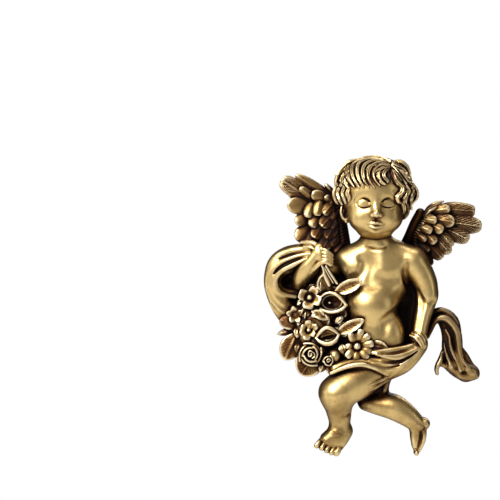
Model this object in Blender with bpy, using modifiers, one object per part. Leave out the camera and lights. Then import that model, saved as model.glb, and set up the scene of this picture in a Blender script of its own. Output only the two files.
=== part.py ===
"""A gilded cast-resin wall plaque: a winged cherub striding to the left with a garland of flowers.

The plaque is one casting, about 250 mm tall, with a flat back that lies on the wall. It is modelled
from plain forms (ellipsoids, tapered limbs and leaf-shaped blades) that a voxel remesh fuses into one
skin, which is then softened, thinned out and cut flat at the wall.

Every place below is (x, z, depth) in millimetres: x to the viewer's right, z up, and depth out from
the wall. Left and right are the viewer's. The origin is on the wall behind the middle of the chest.
"""

import math

import bmesh
import bpy
from mathutils import Matrix, Vector

MM = 0.001

GOLD = (0.52, 0.36, 0.12, 1.0)
GOLD_ROUGHNESS = 0.35
GOLD_METALLIC = 0.9

REMESH_VOXEL = 0.9 * MM
SOFTEN_STEPS = 5
SWELL = 0.4 * MM
TRIANGLES_KEPT = 9300
WALL_BLOCK = 400 * MM

HEAD = (2.0, 60.0, 25.0)
BACK_WEB = 5.0
BEHIND_WALL = 2.0
TURNED_TO_WALL = 0.15


def front_point(x, z, depth):
    """A place on the plaque in Blender's metres: depth runs out from the wall, along -Y."""
    return Vector((x, -depth, z)) * MM


class Casting:
    """Gathers the forms as objects of one helper collection, and then fuses them."""

    def __init__(self, name):
        self.name = name
        self.solid_behind = set()
        self.collection = bpy.data.collections.new(name + " forms")
        bpy.context.scene.collection.children.link(self.collection)

    def keep(self, data, to_wall=False):
        """Keeps a form. One that goes to the wall is solid behind, so its sides run back to the wall."""
        form = bpy.data.objects.new("form", data)
        self.collection.objects.link(form)
        if to_wall:
            self.solid_behind.add(form.name)
        return form

    def sphere(self, segments, rings):
        mesh = bpy.data.meshes.new("form")
        ball = bmesh.new()
        bmesh.ops.create_uvsphere(ball, u_segments=segments, v_segments=rings, radius=1.0)
        ball.to_mesh(mesh)
        ball.free()
        return mesh

    def blob(self, x, z, depth, half_w, half_h, half_d, turn=0.0, to_wall=False):
        """An ellipsoid, turned anticlockwise as seen from the front."""
        form = self.keep(self.sphere(32, 20), to_wall)
        sizes = Matrix.Diagonal((half_w * MM, half_d * MM, half_h * MM, 1.0))
        turned = Matrix.Rotation(-math.radians(turn), 4, "Y")
        form.matrix_world = Matrix.Translation(front_point(x, z, depth)) @ turned @ sizes

    def limb(self, points, to_wall=False):
        """A round tapered limb through points of (x, z, depth, radius)."""
        curve = bpy.data.curves.new("form", "CURVE")
        curve.dimensions = "3D"
        curve.bevel_depth = MM
        curve.bevel_resolution = 4
        curve.resolution_u = 6
        curve.use_fill_caps = True
        spline = curve.splines.new("BEZIER")
        spline.bezier_points.add(len(points) - 1)
        for knot, (x, z, depth, radius) in zip(spline.bezier_points, points):
            knot.co = front_point(x, z, depth)
            knot.radius = radius
            knot.handle_left_type = knot.handle_right_type = "AUTO"
        self.keep(curve, to_wall)
        for x, z, depth, radius in (points[0], points[-1]):
            self.blob(x, z, depth, radius, radius, radius, to_wall=to_wall)

    def blade(self, root, tip, half_w, half_t, point=0.5, roll=0.0):
        """A feather, leaf or petal from root to tip. Its sides follow (1 - u^2)^point along its length:
        0.5 is an ellipse, and 1 is pointed. Roll turns its face about its length."""
        start, end = front_point(*root), front_point(*tip)
        along = (end - start).normalized()
        out = Vector((0, -1, 0))
        face = (out - along * out.dot(along)).normalized()
        face.rotate(Matrix.Rotation(math.radians(roll), 3, along))
        side = along.cross(face)
        mesh = self.sphere(16, 12)
        half_l = (end - start).length / 2
        for vertex in mesh.vertices:
            across, thick, u = vertex.co
            taper = max(1e-3, 1.0 - u * u) ** (point - 0.5)
            wide = side * (across * taper * half_w * MM)
            vertex.co = (start + end) / 2 + along * (u * half_l) + wide + face * (thick * half_t * MM)
        self.keep(mesh)

    def fused(self):
        """All the forms as one mesh object, with the helper objects removed."""
        bpy.context.view_layer.update()
        graph = bpy.context.evaluated_depsgraph_get()
        gathered = bmesh.new()
        for form in list(self.collection.objects):
            mesh = bpy.data.meshes.new_from_object(form.evaluated_get(graph))
            mesh.transform(form.matrix_world)
            if form.name in self.solid_behind:
                rear = [v for v in mesh.vertices if v.normal.y > TURNED_TO_WALL]
                for vertex in rear:
                    vertex.co.y = BEHIND_WALL * MM
            gathered.from_mesh(mesh)
            bpy.data.meshes.remove(mesh)
        for form in list(self.collection.objects):
            bpy.data.objects.remove(form)
        bmesh.ops.remove_doubles(gathered, verts=gathered.verts, dist=1e-7)
        bmesh.ops.recalc_face_normals(gathered, faces=gathered.faces)
        mesh = bpy.data.meshes.new(self.name)
        gathered.to_mesh(mesh)
        gathered.free()
        return bpy.data.objects.new(self.name, mesh)


def between(first, last, share):
    """The place that share of the way from first to last."""
    return tuple(a + (b - a) * share for a, b in zip(first, last))


def make_torso(c):
    c.blob(5, 4, 14, 24, 18, 15, to_wall=True)
    c.blob(-14, 0, 19, 11, 12, 10, 15)
    c.blob(13, 1, 19, 14, 12, 10, -10)
    c.blob(4, -14, 16, 21, 16, 16)
    c.blob(3, -32, 17, 23, 24, 20, to_wall=True)
    c.blob(7, -56, 15, 18, 20, 16, to_wall=True)
    c.blob(18, -53, 16, 8, 14, 10, 8)
    c.limb([(3, 13, 14, 15), (2.5, 22, 18, 14), (3, 32, 22, 13)], to_wall=True)
    c.limb([(3, 18, 15, 11), (18, 14, 15, 10.5), (32, 6, 16, 12)], to_wall=True)
    c.limb([(3, 16, 15, 10), (-12, 12, 15, 9), (-22, 9, 15, 10)], to_wall=True)


def make_head(c):
    x, z, depth = HEAD
    c.blob(x, z, depth, 28, 27, 23, to_wall=True)
    c.blob(x, z - 16, depth + 1, 21, 22, 20)
    c.blob(x - 11, z - 21, depth + 8, 9.5, 9.5, 10)
    c.blob(x + 12, z - 21, depth + 8, 9.5, 9.5, 10)
    c.blob(x + 0.8, z - 30, depth + 12, 6.5, 4.5, 6)
    c.limb([(x + 0.3, z - 11, depth + 20, 1.8), (x + 0.3, z - 17, depth + 23.5, 2.6)])
    c.blade((x - 5.5, z - 25.3, depth + 19), (x + 6.5, z - 25.3, depth + 19), 1.9, 3.0, 0.8)
    c.blob(x - 23.5, z - 18, depth - 2, 3.5, 7, 5, -8)


def make_hair(c):
    """Locks that fall from the crown: each fan runs from one lock to another."""
    x, z, depth = HEAD
    c.blob(x, z + 3, depth - 2, 30.5, 27, 23, to_wall=True)
    crown = (x + 13, z + 22, depth + 15)
    fans = [
        (
            (x - 3, z + 13, depth + 21), (x - 26, z + 4, depth + 9),
            (x + 2, z + 6.5, depth + 22.5), (x - 22, z + 3, depth + 14), 7, 3.4,
        ),
        (
            (x - 4, z + 28, depth + 8), (x - 24, z + 18, depth + 6),
            (x - 12, z + 26, depth + 8), (x - 31, z + 8, depth + 4), 4, 4.6,
        ),
        (
            (x + 17, z + 13, depth + 20), (x + 23, z + 17, depth + 4),
            (x + 23, z + 3, depth + 16), (x + 29, z + 6, depth + 2), 4, 4.0,
        ),
    ]
    for first_mid, last_mid, first_end, last_end, count, radius in fans:
        for number in range(count):
            share = number / (count - 1)
            middle = between(first_mid, last_mid, share)
            end = between(first_end, last_end, share)
            c.limb([(*crown, radius * 0.8), (*middle, radius), (*end, radius * 0.75)])
    curls = [
        (x - 28, z + 3, depth + 6, 4.5),
        (x - 29, z - 5, depth + 2, 4.5),
        (x - 26, z - 11, depth + 6, 3.5),
        (x + 26, z - 1, depth + 13, 4.2),
        (x + 29, z - 8, depth + 8, 4.6),
        (x + 25, z - 14, depth + 10, 4.2),
        (x + 33.5, z - 2, depth - 1, 4.5),
        (x + 28, z - 17, depth + 2, 4),
    ]
    for cx, cz, cd, radius in curls:
        c.blob(cx, cz, cd, radius, radius * 1.25, radius)


def make_arms(c):
    """The right arm hangs to the hip, and the left forearm rises to the stems."""
    upper_arm = [(33, 5, 16, 12), (40, -4, 17, 10.5), (46, -17, 17, 8.6), (46.5, -25, 17, 8)]
    c.limb(upper_arm, to_wall=True)
    forearm = [(46.5, -25, 17, 8), (42.5, -38, 19, 6.6), (38.5, -50, 21, 5.6), (38.5, -59, 22, 6)]
    c.limb(forearm, to_wall=True)
    c.blob(38.5, -61, 23, 7, 6.5, 6.5)
    c.limb([(-22, 8, 12, 9), (-40, -6, 8, 7.5), (-57, -16, 12, 7.5)], to_wall=True)
    c.limb([(-58, -18, 14, 7.6), (-55, -9, 22, 8), (-48, 3, 28, 6.6), (-43, 10, 30, 6.2)])
    for finger in range(4):
        drop = 2.7 * finger
        c.limb([
            (-41, 12.5 - drop, 35 - 0.4 * finger, 1.9), (-37, 11 - drop, 36, 1.8),
            (-33.5, 8.5 - drop, 33, 1.6),
        ])
    c.limb([(-44, 3, 34, 2.0), (-39.5, 0.5, 35.5, 1.9), (-35.5, 0.5, 35, 1.6)])


def make_legs(c):
    """The left leg steps forward, and the right one is bent behind it."""
    thigh = [(12, -70, 15, 16), (-8, -89, 20, 16), (-24, -98.5, 24, 15), (-30.5, -103, 26, 13)]
    c.limb(thigh, to_wall=True)
    shin = [
        (-30.5, -104, 25, 12.5), (-28.8, -115, 21, 11), (-28.4, -124, 19, 9.2),
        (-28.5, -132, 17, 8),
    ]
    c.limb(shin, to_wall=True)
    c.blob(-21.5, -135.5, 15, 4.6, 4.8, 6, to_wall=True)
    instep = [(-27, -134, 19, 7.5), (-32.5, -141.5, 22, 7.6), (-36.5, -147.5, 23, 6.2)]
    c.limb(instep, to_wall=True)
    c.limb([(-23, -137, 16, 5), (-26.5, -145, 19, 5), (-31, -150, 21, 3.6)], to_wall=True)
    first_toe, last_toe = (-44.3, -146.8, 23), (-31.2, -152.6, 24)
    for toe in range(5):
        x, z, depth = between(first_toe, last_toe, toe / 4)
        c.limb([(x + 3.5, z + 4, depth - 1, 2.4), (x, z, depth + 1, 2.2)])
    c.limb([(10, -80, 10, 12), (7.5, -94, 9, 8), (6, -104, 9, 8)], to_wall=True)
    bent_shin = [
        (-6, -112, 8, 6.5), (4, -113.5, 10, 9.5), (18, -115, 12, 11.5), (30, -122.5, 13, 8.6),
        (37.5, -130.5, 13, 6.4),
    ]
    c.limb(bent_shin, to_wall=True)
    c.blob(43, -129, 12, 4, 4.3, 5, to_wall=True)
    raised_foot = [
        (37.8, -131, 12.5, 6.3), (37.6, -141, 12, 5.4), (37.3, -148, 12, 3.7),
        (36.5, -153.3, 12, 2.3),
    ]
    c.limb(raised_foot, to_wall=True)


def make_drapery(c):
    """The cloth over the left forearm, round the hips and behind the right elbow."""
    c.blob(-67, -12, 3, 17, 27, 5, -12)
    folds = [
        [(-46, 19, 24, 4.2), (-60, 17, 18, 4.4), (-75, 14.5, 13, 4.6), (-82, 8, 10, 5)],
        [
            (-47, 15, 27, 3.6), (-62, 12, 22, 4.2), (-76, 7, 16, 5), (-84, -2, 12, 5.4),
            (-85, -14, 11, 5.2), (-81, -27, 10, 5.4), (-74, -37, 9, 5.4),
        ],
        [
            (-49, 11, 28, 3.4), (-63, 6, 22, 4), (-76, 0, 17, 4.3), (-81.5, -12, 14, 4.3),
            (-78, -26, 12, 4.4), (-70, -36, 11, 4.4), (-60, -42, 10, 4.5),
        ],
        [
            (-55, 4, 26, 3), (-66, 1, 22, 3.2), (-75.5, -5, 19, 3.2), (-78, -14, 17, 3.2),
            (-73.5, -22, 15, 3.2), (-64, -24.5, 14, 3.2),
        ],
    ]
    for fold in folds:
        c.limb(fold, to_wall=True)
    c.limb([(-54, 19.5, 27, 2.4), (-48.5, 18.5, 30, 3.2), (-44, 15, 31, 3)])

    c.blob(6, -72, 20, 24, 11, 12, 12)
    hip_folds = [
        [(36, -63, 22, 3.4), (24, -66, 27, 2.6), (10, -68.5, 31, 2.2), (-4, -70, 33, 2.0)],
        [
            (36, -65, 22, 4), (24, -73, 27, 4), (10, -78.5, 31, 4), (-6, -78, 33.5, 3.4),
            (-22, -76, 33, 3),
        ],
        [
            (37, -67, 20, 4), (27, -78, 23, 4), (15, -87, 25, 3.6), (5, -88.5, 29, 2.6),
            (-8, -83, 33, 2.4), (-26, -81, 33, 2.4), (-34, -82, 30, 2.4),
        ],
    ]
    for fold in hip_folds:
        c.limb(fold)

    tail_folds = [
        [
            (43, -46, 12, 3.6), (51, -37, 13, 4), (59, -36, 13, 4.2), (67.5, -41.5, 13, 4.4),
            (72, -53, 13, 4.4), (74.5, -66, 12, 4.4), (78, -76, 12, 4.4), (85, -83.5, 12, 4.4),
            (87, -90, 11, 3),
        ],
        [
            (45, -52, 10, 3.6), (53, -42.5, 11, 3.8), (59, -42, 10, 3.6), (63.5, -47, 10, 3.4),
            (66, -57, 10, 3.6), (67.5, -70, 10, 4), (72, -81, 10, 4.6), (78, -88.5, 9, 4),
        ],
        [
            (47, -53, 8, 2.6), (53.5, -46.5, 9, 2.6), (58, -47, 8, 2.4), (61, -54, 9, 2.6),
            (62, -66, 10, 3), (62, -75, 10, 3.2), (67, -82, 9, 3.4), (72, -87, 8, 3),
        ],
        [(60.5, -73, 10, 2.8), (57, -78, 11, 2.6), (54, -83.5, 12, 1.9), (53, -88, 12, 1.4)],
    ]
    for fold in tail_folds:
        c.limb(fold, to_wall=True)


def make_web(c):
    """The low ground of the casting, in the hollows between the arm, the chest and the cloth."""
    c.limb([
        (29, -8, 0, BACK_WEB + 2), (34, -25, 0, BACK_WEB + 5), (30, -45, 0, BACK_WEB + 6),
        (32, -60, 0, BACK_WEB + 3),
    ])
    c.limb([(-24, 8, 3, 10), (-34, -4, 3, 12), (-50, -10, 3, 12)])
    c.limb([(-14, -8, 3, 10), (-26, -12, 3, 10)])
    c.limb([(-36, -4, 6, 9), (-43, -25, 8, 15), (-47, -48, 9, 20), (-44, -67, 10, 14)])
    c.limb([(-20, -30, 6, 14), (-18, -56, 8, 14), (-14, -68, 10, 12)])


def make_wing(c, arm, quills, scales):
    """A wing: the bare leading edge, its long feathers, and rows of small scale feathers."""
    c.limb(arm)
    for root, tip, half_w in quills:
        c.blade(root, tip, half_w, 2.6, 0.35)
    for first, last, count, half_w in scales:
        for number in range(count):
            share = number / (count - 1)
            x, z, depth = between(first[:3], last[:3], share)
            reach, way = between(first[3:], last[3:], share)
            dx, dz = reach * math.cos(math.radians(way)), reach * math.sin(math.radians(way))
            c.blade((x - dx, z - dz, depth - 1.5), (x + dx, z + dz, depth + 1), half_w, 2.2, 0.4)


def make_wings(c):
    left_quills = [
        ((-31, 61, 7), (-62, 76, 9), 4.6),
        ((-31, 61, 9), (-41.5, 69.5, 10), 2.2),
        ((-42, 50, 8), (-75.5, 73, 12), 6.2),
        ((-44, 49, 9), (-71.5, 52.5, 13), 6.0),
        ((-40, 47, 8), (-62.5, 38, 12), 4.6),
        ((-38, 42, 8), (-64, 24, 12), 5.8),
        ((-34, 34, 7), (-58, 17, 11), 5.4),
        ((-35, 56, 11), (-49.5, 60, 15), 3.8),
        ((-43, 56, 12), (-55.5, 44, 16), 4.2),
        ((-38, 56, 12), (-48, 42, 16), 4.0),
        ((-42, 46, 12), (-53, 33, 16), 4.0),
        ((-40, 38, 12), (-56, 22.5, 16), 4.8),
    ]
    left_scales = [
        ((-37, 49, 12, 4.5, 190), (-34, 20, 12, 4.5, 235), 4, 3.6),
        ((-30, 50, 11, 4.0, 200), (-27, 24, 11, 4.0, 240), 5, 3.0),
    ]
    left_arm = [(-20, 22, 5, 6.5), (-24, 40, 6, 6.5), (-30, 57, 6, 4.5)]
    make_wing(c, left_arm, left_quills, left_scales)
    c.blob(-42, 44, 2, 20, 20, 6.5)
    c.limb([(-33, 40, 3, 9), (-31, 27, 4, 10), (-26, 15, 4, 9)])
    c.limb([(-46, 32, 3, 8), (-41, 18, 4, 8.5)])
    right_quills = [
        ((42, 47, 8), (59.5, 54, 11), 2.4),
        ((46, 45, 7), (84.5, 46, 10), 5.2),
        ((48, 39, 8), (91, 34, 12), 6.2),
        ((46, 33, 8), (79.5, 22.5, 12), 5.8),
        ((43, 29, 9), (66, 19, 13), 4.5),
        ((41, 26, 9), (65, 12, 13), 4.5),
        ((38, 24, 9), (58.5, 8.5, 12), 4.4),
        ((36, 20, 8), (48.5, 3.5, 10), 4.0),
        ((43, 45, 12), (63.5, 48.5, 15), 3.2),
        ((44, 39, 12), (67.5, 36, 16), 4.2),
        ((41, 34, 13), (56, 31, 16), 4.0),
    ]
    right_scales = [
        ((44, 38, 14, 4.5, 20), (43, 20, 13, 4.5, -40), 4, 3.6),
        ((37, 36, 12, 4.0, 35), (36, 20, 11, 4.0, -40), 4, 3.0),
    ]
    right_arm = [(27, 20, 5, 6.5), (34, 36, 6, 5), (41, 47.5, 7, 3.6)]
    make_wing(c, right_arm, right_quills, right_scales)
    c.blob(48, 32, 2, 16, 18, 6.5, -20)


def make_flowers(c):
    """The garland that hangs from the fist: stems, leaves, cups, two blossoms, a rose and its bud."""
    c.limb([(-37.7, 2, 34, 1.7), (-33, -7, 34, 1.7), (-29.5, -14, 30, 1.7)])
    c.limb([(-41, 0, 33, 1.7), (-38, -8, 32, 1.7), (-35.8, -15, 30, 1.7)])
    leaves = [
        ((-36, -19, 27), (-9.5, -10.8, 36), 5.0),
        ((-29, -50.5, 29), (-7.5, -42, 37), 4.2),
        ((-2, -68, 32), (12.5, -66, 32), 5.0),
        ((-60, -57, 20), (-73.5, -77.5, 17), 8.6),
        ((-58, -42, 18), (-75.5, -47, 14), 6.0),
        ((-60, -50, 12), (-78, -55, 9), 3.2),
        ((-46, -71, 20), (-59, -90, 17), 10.5),
        ((-33, -76, 24), (-35.5, -88, 22), 5.5),
        ((-41, -4, 18), (-43, -19, 25), 3.0),
        ((-50, -37, 27), (-35.5, -41.5, 27), 2.6),
    ]
    for root, tip, half_w in leaves:
        c.blade(root, tip, half_w, 2.2, 0.8)

    petal_ways = [55, 185, 340, 250]
    make_blossom(c, (-52, -24.3, 27), petal_ways, 8.5, 3.2, 6.0, 1.9)
    daisy_ways = [45 * number + 8 for number in range(8)]
    make_blossom(c, (-13, -63.8, 33), daisy_ways, 13.0, 3.7, 1.5, 3.2)

    make_cup(c, (-33, -28, 26), 10, 7.6, -12)
    make_cup(c, (-36.7, -55.3, 27), 9.6, 6.8, 8)

    berries = [
        (-56.3, -49.8), (-52.8, -55.3), (-45.7, -48.3), (-50.7, -43.5), (-53.5, -59.7), (-62, -33),
    ]
    for x, z in berries:
        c.blob(x, z, 25, 3.2, 3.2, 4)
    c.blob(-64, -39, 16, 6, 6, 6)

    c.blob(-50.7, -71.7, 23, 10.2, 10.2, 9)
    c.blob(-50.7, -71.7, 30, 6, 6, 5)
    c.blob(-36, -76.5, 25, 5, 5, 8)
    c.blob(-29.5, -72.5, 24, 5.5, 6, 7, -30)


def make_blossom(c, centre, ways, reach, half_w, lift, ball):
    """Petals round a ball. Each way is a petal's direction in degrees, and lift raises their tips."""
    x, z, depth = centre
    for way in ways:
        dx, dz = math.cos(math.radians(way)), math.sin(math.radians(way))
        root = (x + dx * 1.5, z + dz * 1.5, depth)
        tip = (x + dx * reach, z + dz * reach, depth + lift)
        c.blade(root, tip, half_w, 1.7, 0.4)
    c.blob(x, z, depth + 1.5, ball, ball, ball)
    c.blob(x, z, depth - 5, ball * 1.6, ball * 1.6, 6)


def make_cup(c, centre, half_l, half_w, turn):
    """An open bud: an oval rim round a hollow."""
    x, z, depth = centre
    c.blob(x, z, depth - 5, half_l * 0.8, half_w * 0.8, 6, turn)
    rim = []
    tilt = math.radians(turn)
    for step in range(9):
        way = math.radians(45 * step)
        u, v = half_l * 0.82 * math.cos(way), half_w * 0.8 * math.sin(way)
        rim_x = x + u * math.cos(tilt) - v * math.sin(tilt)
        rim_z = z + u * math.sin(tilt) + v * math.cos(tilt)
        rim.append((rim_x, rim_z, depth + 3, 2.1))
    c.limb(rim)


def gold_material():
    material = bpy.data.materials.new("antique gold")
    material.use_nodes = True
    shader = material.node_tree.nodes["Principled BSDF"]
    shader.inputs["Base Color"].default_value = GOLD
    shader.inputs["Roughness"].default_value = GOLD_ROUGHNESS
    shader.inputs["Metallic"].default_value = GOLD_METALLIC
    return material


def finish(casting):
    """The fused casting: remeshed, softened, thinned out and cut flat along the wall."""
    plaque = casting.fused()
    skin = plaque.modifiers.new("one skin", "REMESH")
    skin.mode = "VOXEL"
    skin.voxel_size = REMESH_VOXEL
    soften = plaque.modifiers.new("soften", "SMOOTH")
    soften.factor = 0.5
    soften.iterations = SOFTEN_STEPS
    swell = plaque.modifiers.new("make good what softening took", "DISPLACE")
    swell.strength = SWELL
    swell.mid_level = 0.0
    parts = bpy.data.collections.new("cherub wall plaque")
    bpy.context.scene.collection.children.link(parts)
    parts.objects.link(plaque)
    bpy.context.view_layer.update()
    dense = plaque.evaluated_get(bpy.context.evaluated_depsgraph_get())
    thin = plaque.modifiers.new("thin out", "DECIMATE")
    thin.ratio = TRIANGLES_KEPT / (2 * len(dense.data.polygons))

    cutters = bpy.data.collections.new("cutters")
    bpy.context.scene.collection.children.link(cutters)
    block_mesh = bpy.data.meshes.new("wall")
    block = bmesh.new()
    bmesh.ops.create_cube(block, size=WALL_BLOCK)
    block.to_mesh(block_mesh)
    block.free()
    wall = bpy.data.objects.new("wall", block_mesh)
    wall.location = (0, WALL_BLOCK / 2, 0)
    wall.hide_render = True
    wall.display_type = "WIRE"
    cutters.objects.link(wall)
    flat_back = plaque.modifiers.new("flat back", "BOOLEAN")
    flat_back.operation = "DIFFERENCE"
    flat_back.object = wall

    plaque.data.materials.append(gold_material())
    return plaque


def main():
    for old in list(bpy.data.objects):
        bpy.data.objects.remove(old)
    casting = Casting("cherub_plaque")
    makers = (
        make_torso, make_head, make_hair, make_arms, make_legs, make_drapery, make_web, make_wings,
        make_flowers,
    )
    for make in makers:
        make(casting)
    finish(casting)


main()
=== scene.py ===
"""A gilded cast-resin wall plaque: a winged cherub striding to the left with a garland of flowers.

The casting is sculpted here as distance fields. Each region of it has a grid of its own, fine enough
for its carving: forms are added and cut with soft joins, and the surface is then drawn as a closed mesh.
The patina, and the shade painted in with it, follow from the shape: how enclosed each point is, how sharp
the edge it lies on, how near the wall it is and which way it faces.

Every place is (x, z, depth) in millimetres: x to the viewer's right, z up, and depth out from the wall.
"""

import math

import bpy
import numpy as np
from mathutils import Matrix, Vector


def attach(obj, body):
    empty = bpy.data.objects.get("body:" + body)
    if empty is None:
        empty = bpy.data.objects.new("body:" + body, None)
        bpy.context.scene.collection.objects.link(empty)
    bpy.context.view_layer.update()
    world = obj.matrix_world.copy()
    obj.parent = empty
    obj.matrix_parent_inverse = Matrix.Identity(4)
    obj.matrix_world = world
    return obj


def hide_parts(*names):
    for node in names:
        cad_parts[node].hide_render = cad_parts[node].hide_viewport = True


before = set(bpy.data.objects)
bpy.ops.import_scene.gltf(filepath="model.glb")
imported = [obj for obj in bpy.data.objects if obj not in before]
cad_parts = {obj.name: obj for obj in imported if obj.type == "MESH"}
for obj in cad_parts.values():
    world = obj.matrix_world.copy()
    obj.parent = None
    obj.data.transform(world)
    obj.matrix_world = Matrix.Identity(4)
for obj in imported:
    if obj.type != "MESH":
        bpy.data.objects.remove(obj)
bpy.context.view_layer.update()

MM = 0.001
FAR = 12.0
RAYS = 22
GOLDEN_ANGLE = 2.39996
CLOSE_REACH = 4.5
DEEP_REACH = 16.0

# Where each share of the glaze, of the painted shade and of the wear starts, and where it is full.
SHARP_EDGE = (0.455, 0.33)
PROUD = (0.10, 0.45)
SUNK = (0.03, 0.42)
OFF_WALL = (3, 10)
# Painted shade: the surface darkens towards the wall, partly glaze and partly shade.
NEAR_WALL = (8.5, 0.5)
ON_WALL = (2.5, 1.0)
# Painted shade: surfaces turned away from the front are darkened, partly glaze left on them and partly
# shade.
SIDEWAYS = (0.72, 0.08)
BACKWARDS = (0.3, 0.8)
# How far below its top depth each pool of painted shade and glaze fades out.
SHADE_AND_GLAZE_POOL_FADE = 12
NODE = "cherub_plaque"
HEAD = (2.0, 60.0, 23.8)
HAIR_MIDDLE = (HEAD[0], HEAD[1] + 1, HEAD[2] - 14)
OUT = (0.0, 0.0, 1.0)
COARSER = 1.0

# The shin belongs to the body down to the low mark and to the front foot from the high one: they overlap.
SHIN_HIGH = -116.0
SHIN_LOW = -118.2
FOOT_RIGHT = -12

# Where painted shade and the dark glaze are laid on thicker, between parts, under edges and in hollows: x,
# z, its reach, how much more of it there is, and its top depth.
SHADE_AND_GLAZE_POOLS = [
    (30, -28, 13, 0.5, 24), (29, -48, 10, 0.4, 24), (-26, -14, 12, 0.6, 24), (-70, -12, 8, 0.5, 24),
    (-35, 24, 15, 0.75, 24), (-24, 34, 12, 0.5, 24), (47, 51, 6, 0.35, 24), (-42, 33, 9, 0.2, 24),
    (-25, 50, 9, 0.3, 24), (34, 20, 12, 0.45, 24), (46, 12, 12, 0.3, 24), (24, 50, 9, 0.35, 24),
    (2, -76, 9, 0.3, 40), (48, -46, 8, 0.4, 24), (-24, -68, 9, 0.4, 24), (-44, -46, 20, 0.2, 24),
    (5, -108, 8, 0.3, 24), (-69, -66, 9, 0.45, 28), (-60, -85, 10, 0.45, 28), (-73, -46, 8, 0.4, 28),
    (-76, -55, 7, 0.4, 28), (-63.4, -38.6, 6, 0.6, 36), (12, -110, 9, 0.25, 60),
    (24, -120, 9, 0.12, 60), (-23, -37, 8, 0.5, 60), (14, 75, 5, 0.7, 60), (-12, -85, 7, 0.35, 60),
    (-27, -112, 13, 0.12, 60), (-29, -136, 6, 0.35, 60), (-38, -144, 7, 0.3, 60),
    (-29, -122, 10, 0.15, 60), (-21, -15, 6, 0.3, 60), (-19, -48, 6, 0.3, 60), (5, -66, 6, 0.25, 60),
    (8, -96, 9, 0.3, 60), (40, -133, 7, 0.35, 60), (24, 42, 7, 0.35, 60), (-24, 50, 5, 0.25, 40),
    (-20, -84, 9, 0.3, 36), (-12, -70, 9, 0.15, 50), (68, -58, 12, 0.25, 24), (36, -56, 5, 0.15, 40),
]


def smooth_min(a, b, blend):
    """The smaller of two distances, rounded where they are within a blend of each other."""
    if blend <= 0:
        return np.minimum(a, b)
    near = np.maximum(blend - np.abs(a - b), 0.0) / blend
    return np.minimum(a, b) - near * near * (blend * 0.25)


def smooth_path(points, step):
    """Points (rows of numbers) carried by a Catmull-Rom curve, about a step apart."""
    rows = np.array(points, float)
    ends = np.vstack([2 * rows[0] - rows[1], rows, 2 * rows[-1] - rows[-2]])
    made = []
    for i in range(len(rows) - 1):
        p0, p1, p2, p3 = ends[i:i + 4]
        pieces = max(1, int(math.ceil(np.linalg.norm((p2 - p1)[:3]) / step)))
        for t in np.arange(pieces) / pieces:
            cubic = (3 * p1 - p0 - 3 * p2 + p3) * t ** 3
            square = (2 * p0 - 5 * p1 + 4 * p2 - p3) * t ** 2
            made.append(0.5 * (2 * p1 + (p2 - p0) * t + square + cubic))
    made.append(rows[-1])
    return np.array(made)


def heading(way):
    """A step of one the given way, in degrees anticlockwise from the right."""
    return math.cos(math.radians(way)), math.sin(math.radians(way))


def unit(v):
    v = np.asarray(v, float)
    return v / (np.linalg.norm(v) + 1e-12)


def ellipse_distance(parts, sizes):
    """About how far a point is from an ellipsoid: parts are its offsets and sizes the half axes."""
    k0 = k1 = 0.0
    for part, size in zip(parts, sizes):
        ratio = part / size
        k0 = k0 + ratio * ratio
        ratio = ratio / size
        k1 = k1 + ratio * ratio
    k0 = np.sqrt(k0)
    return k0 * (k0 - 1.0) / (np.sqrt(k1) + 1e-6)


def sampled(volume, spots):
    """A volume read between its cells, at places counted in cells."""
    spots = np.clip(spots, 0, np.array(volume.shape) - 1.001)
    base = spots.astype(int)
    share = (spots - base).astype(np.float32)
    value = np.zeros(len(spots), np.float32)
    for corner in [(i, j, k) for i in (0, 1) for j in (0, 1) for k in (0, 1)]:
        weight = np.ones(len(spots), np.float32)
        for axis, step in enumerate(corner):
            weight *= share[:, axis] if step else 1 - share[:, axis]
        value += weight * volume[base[:, 0] + corner[0], base[:, 1] + corner[1], base[:, 2] + corner[2]]
    return value


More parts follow.
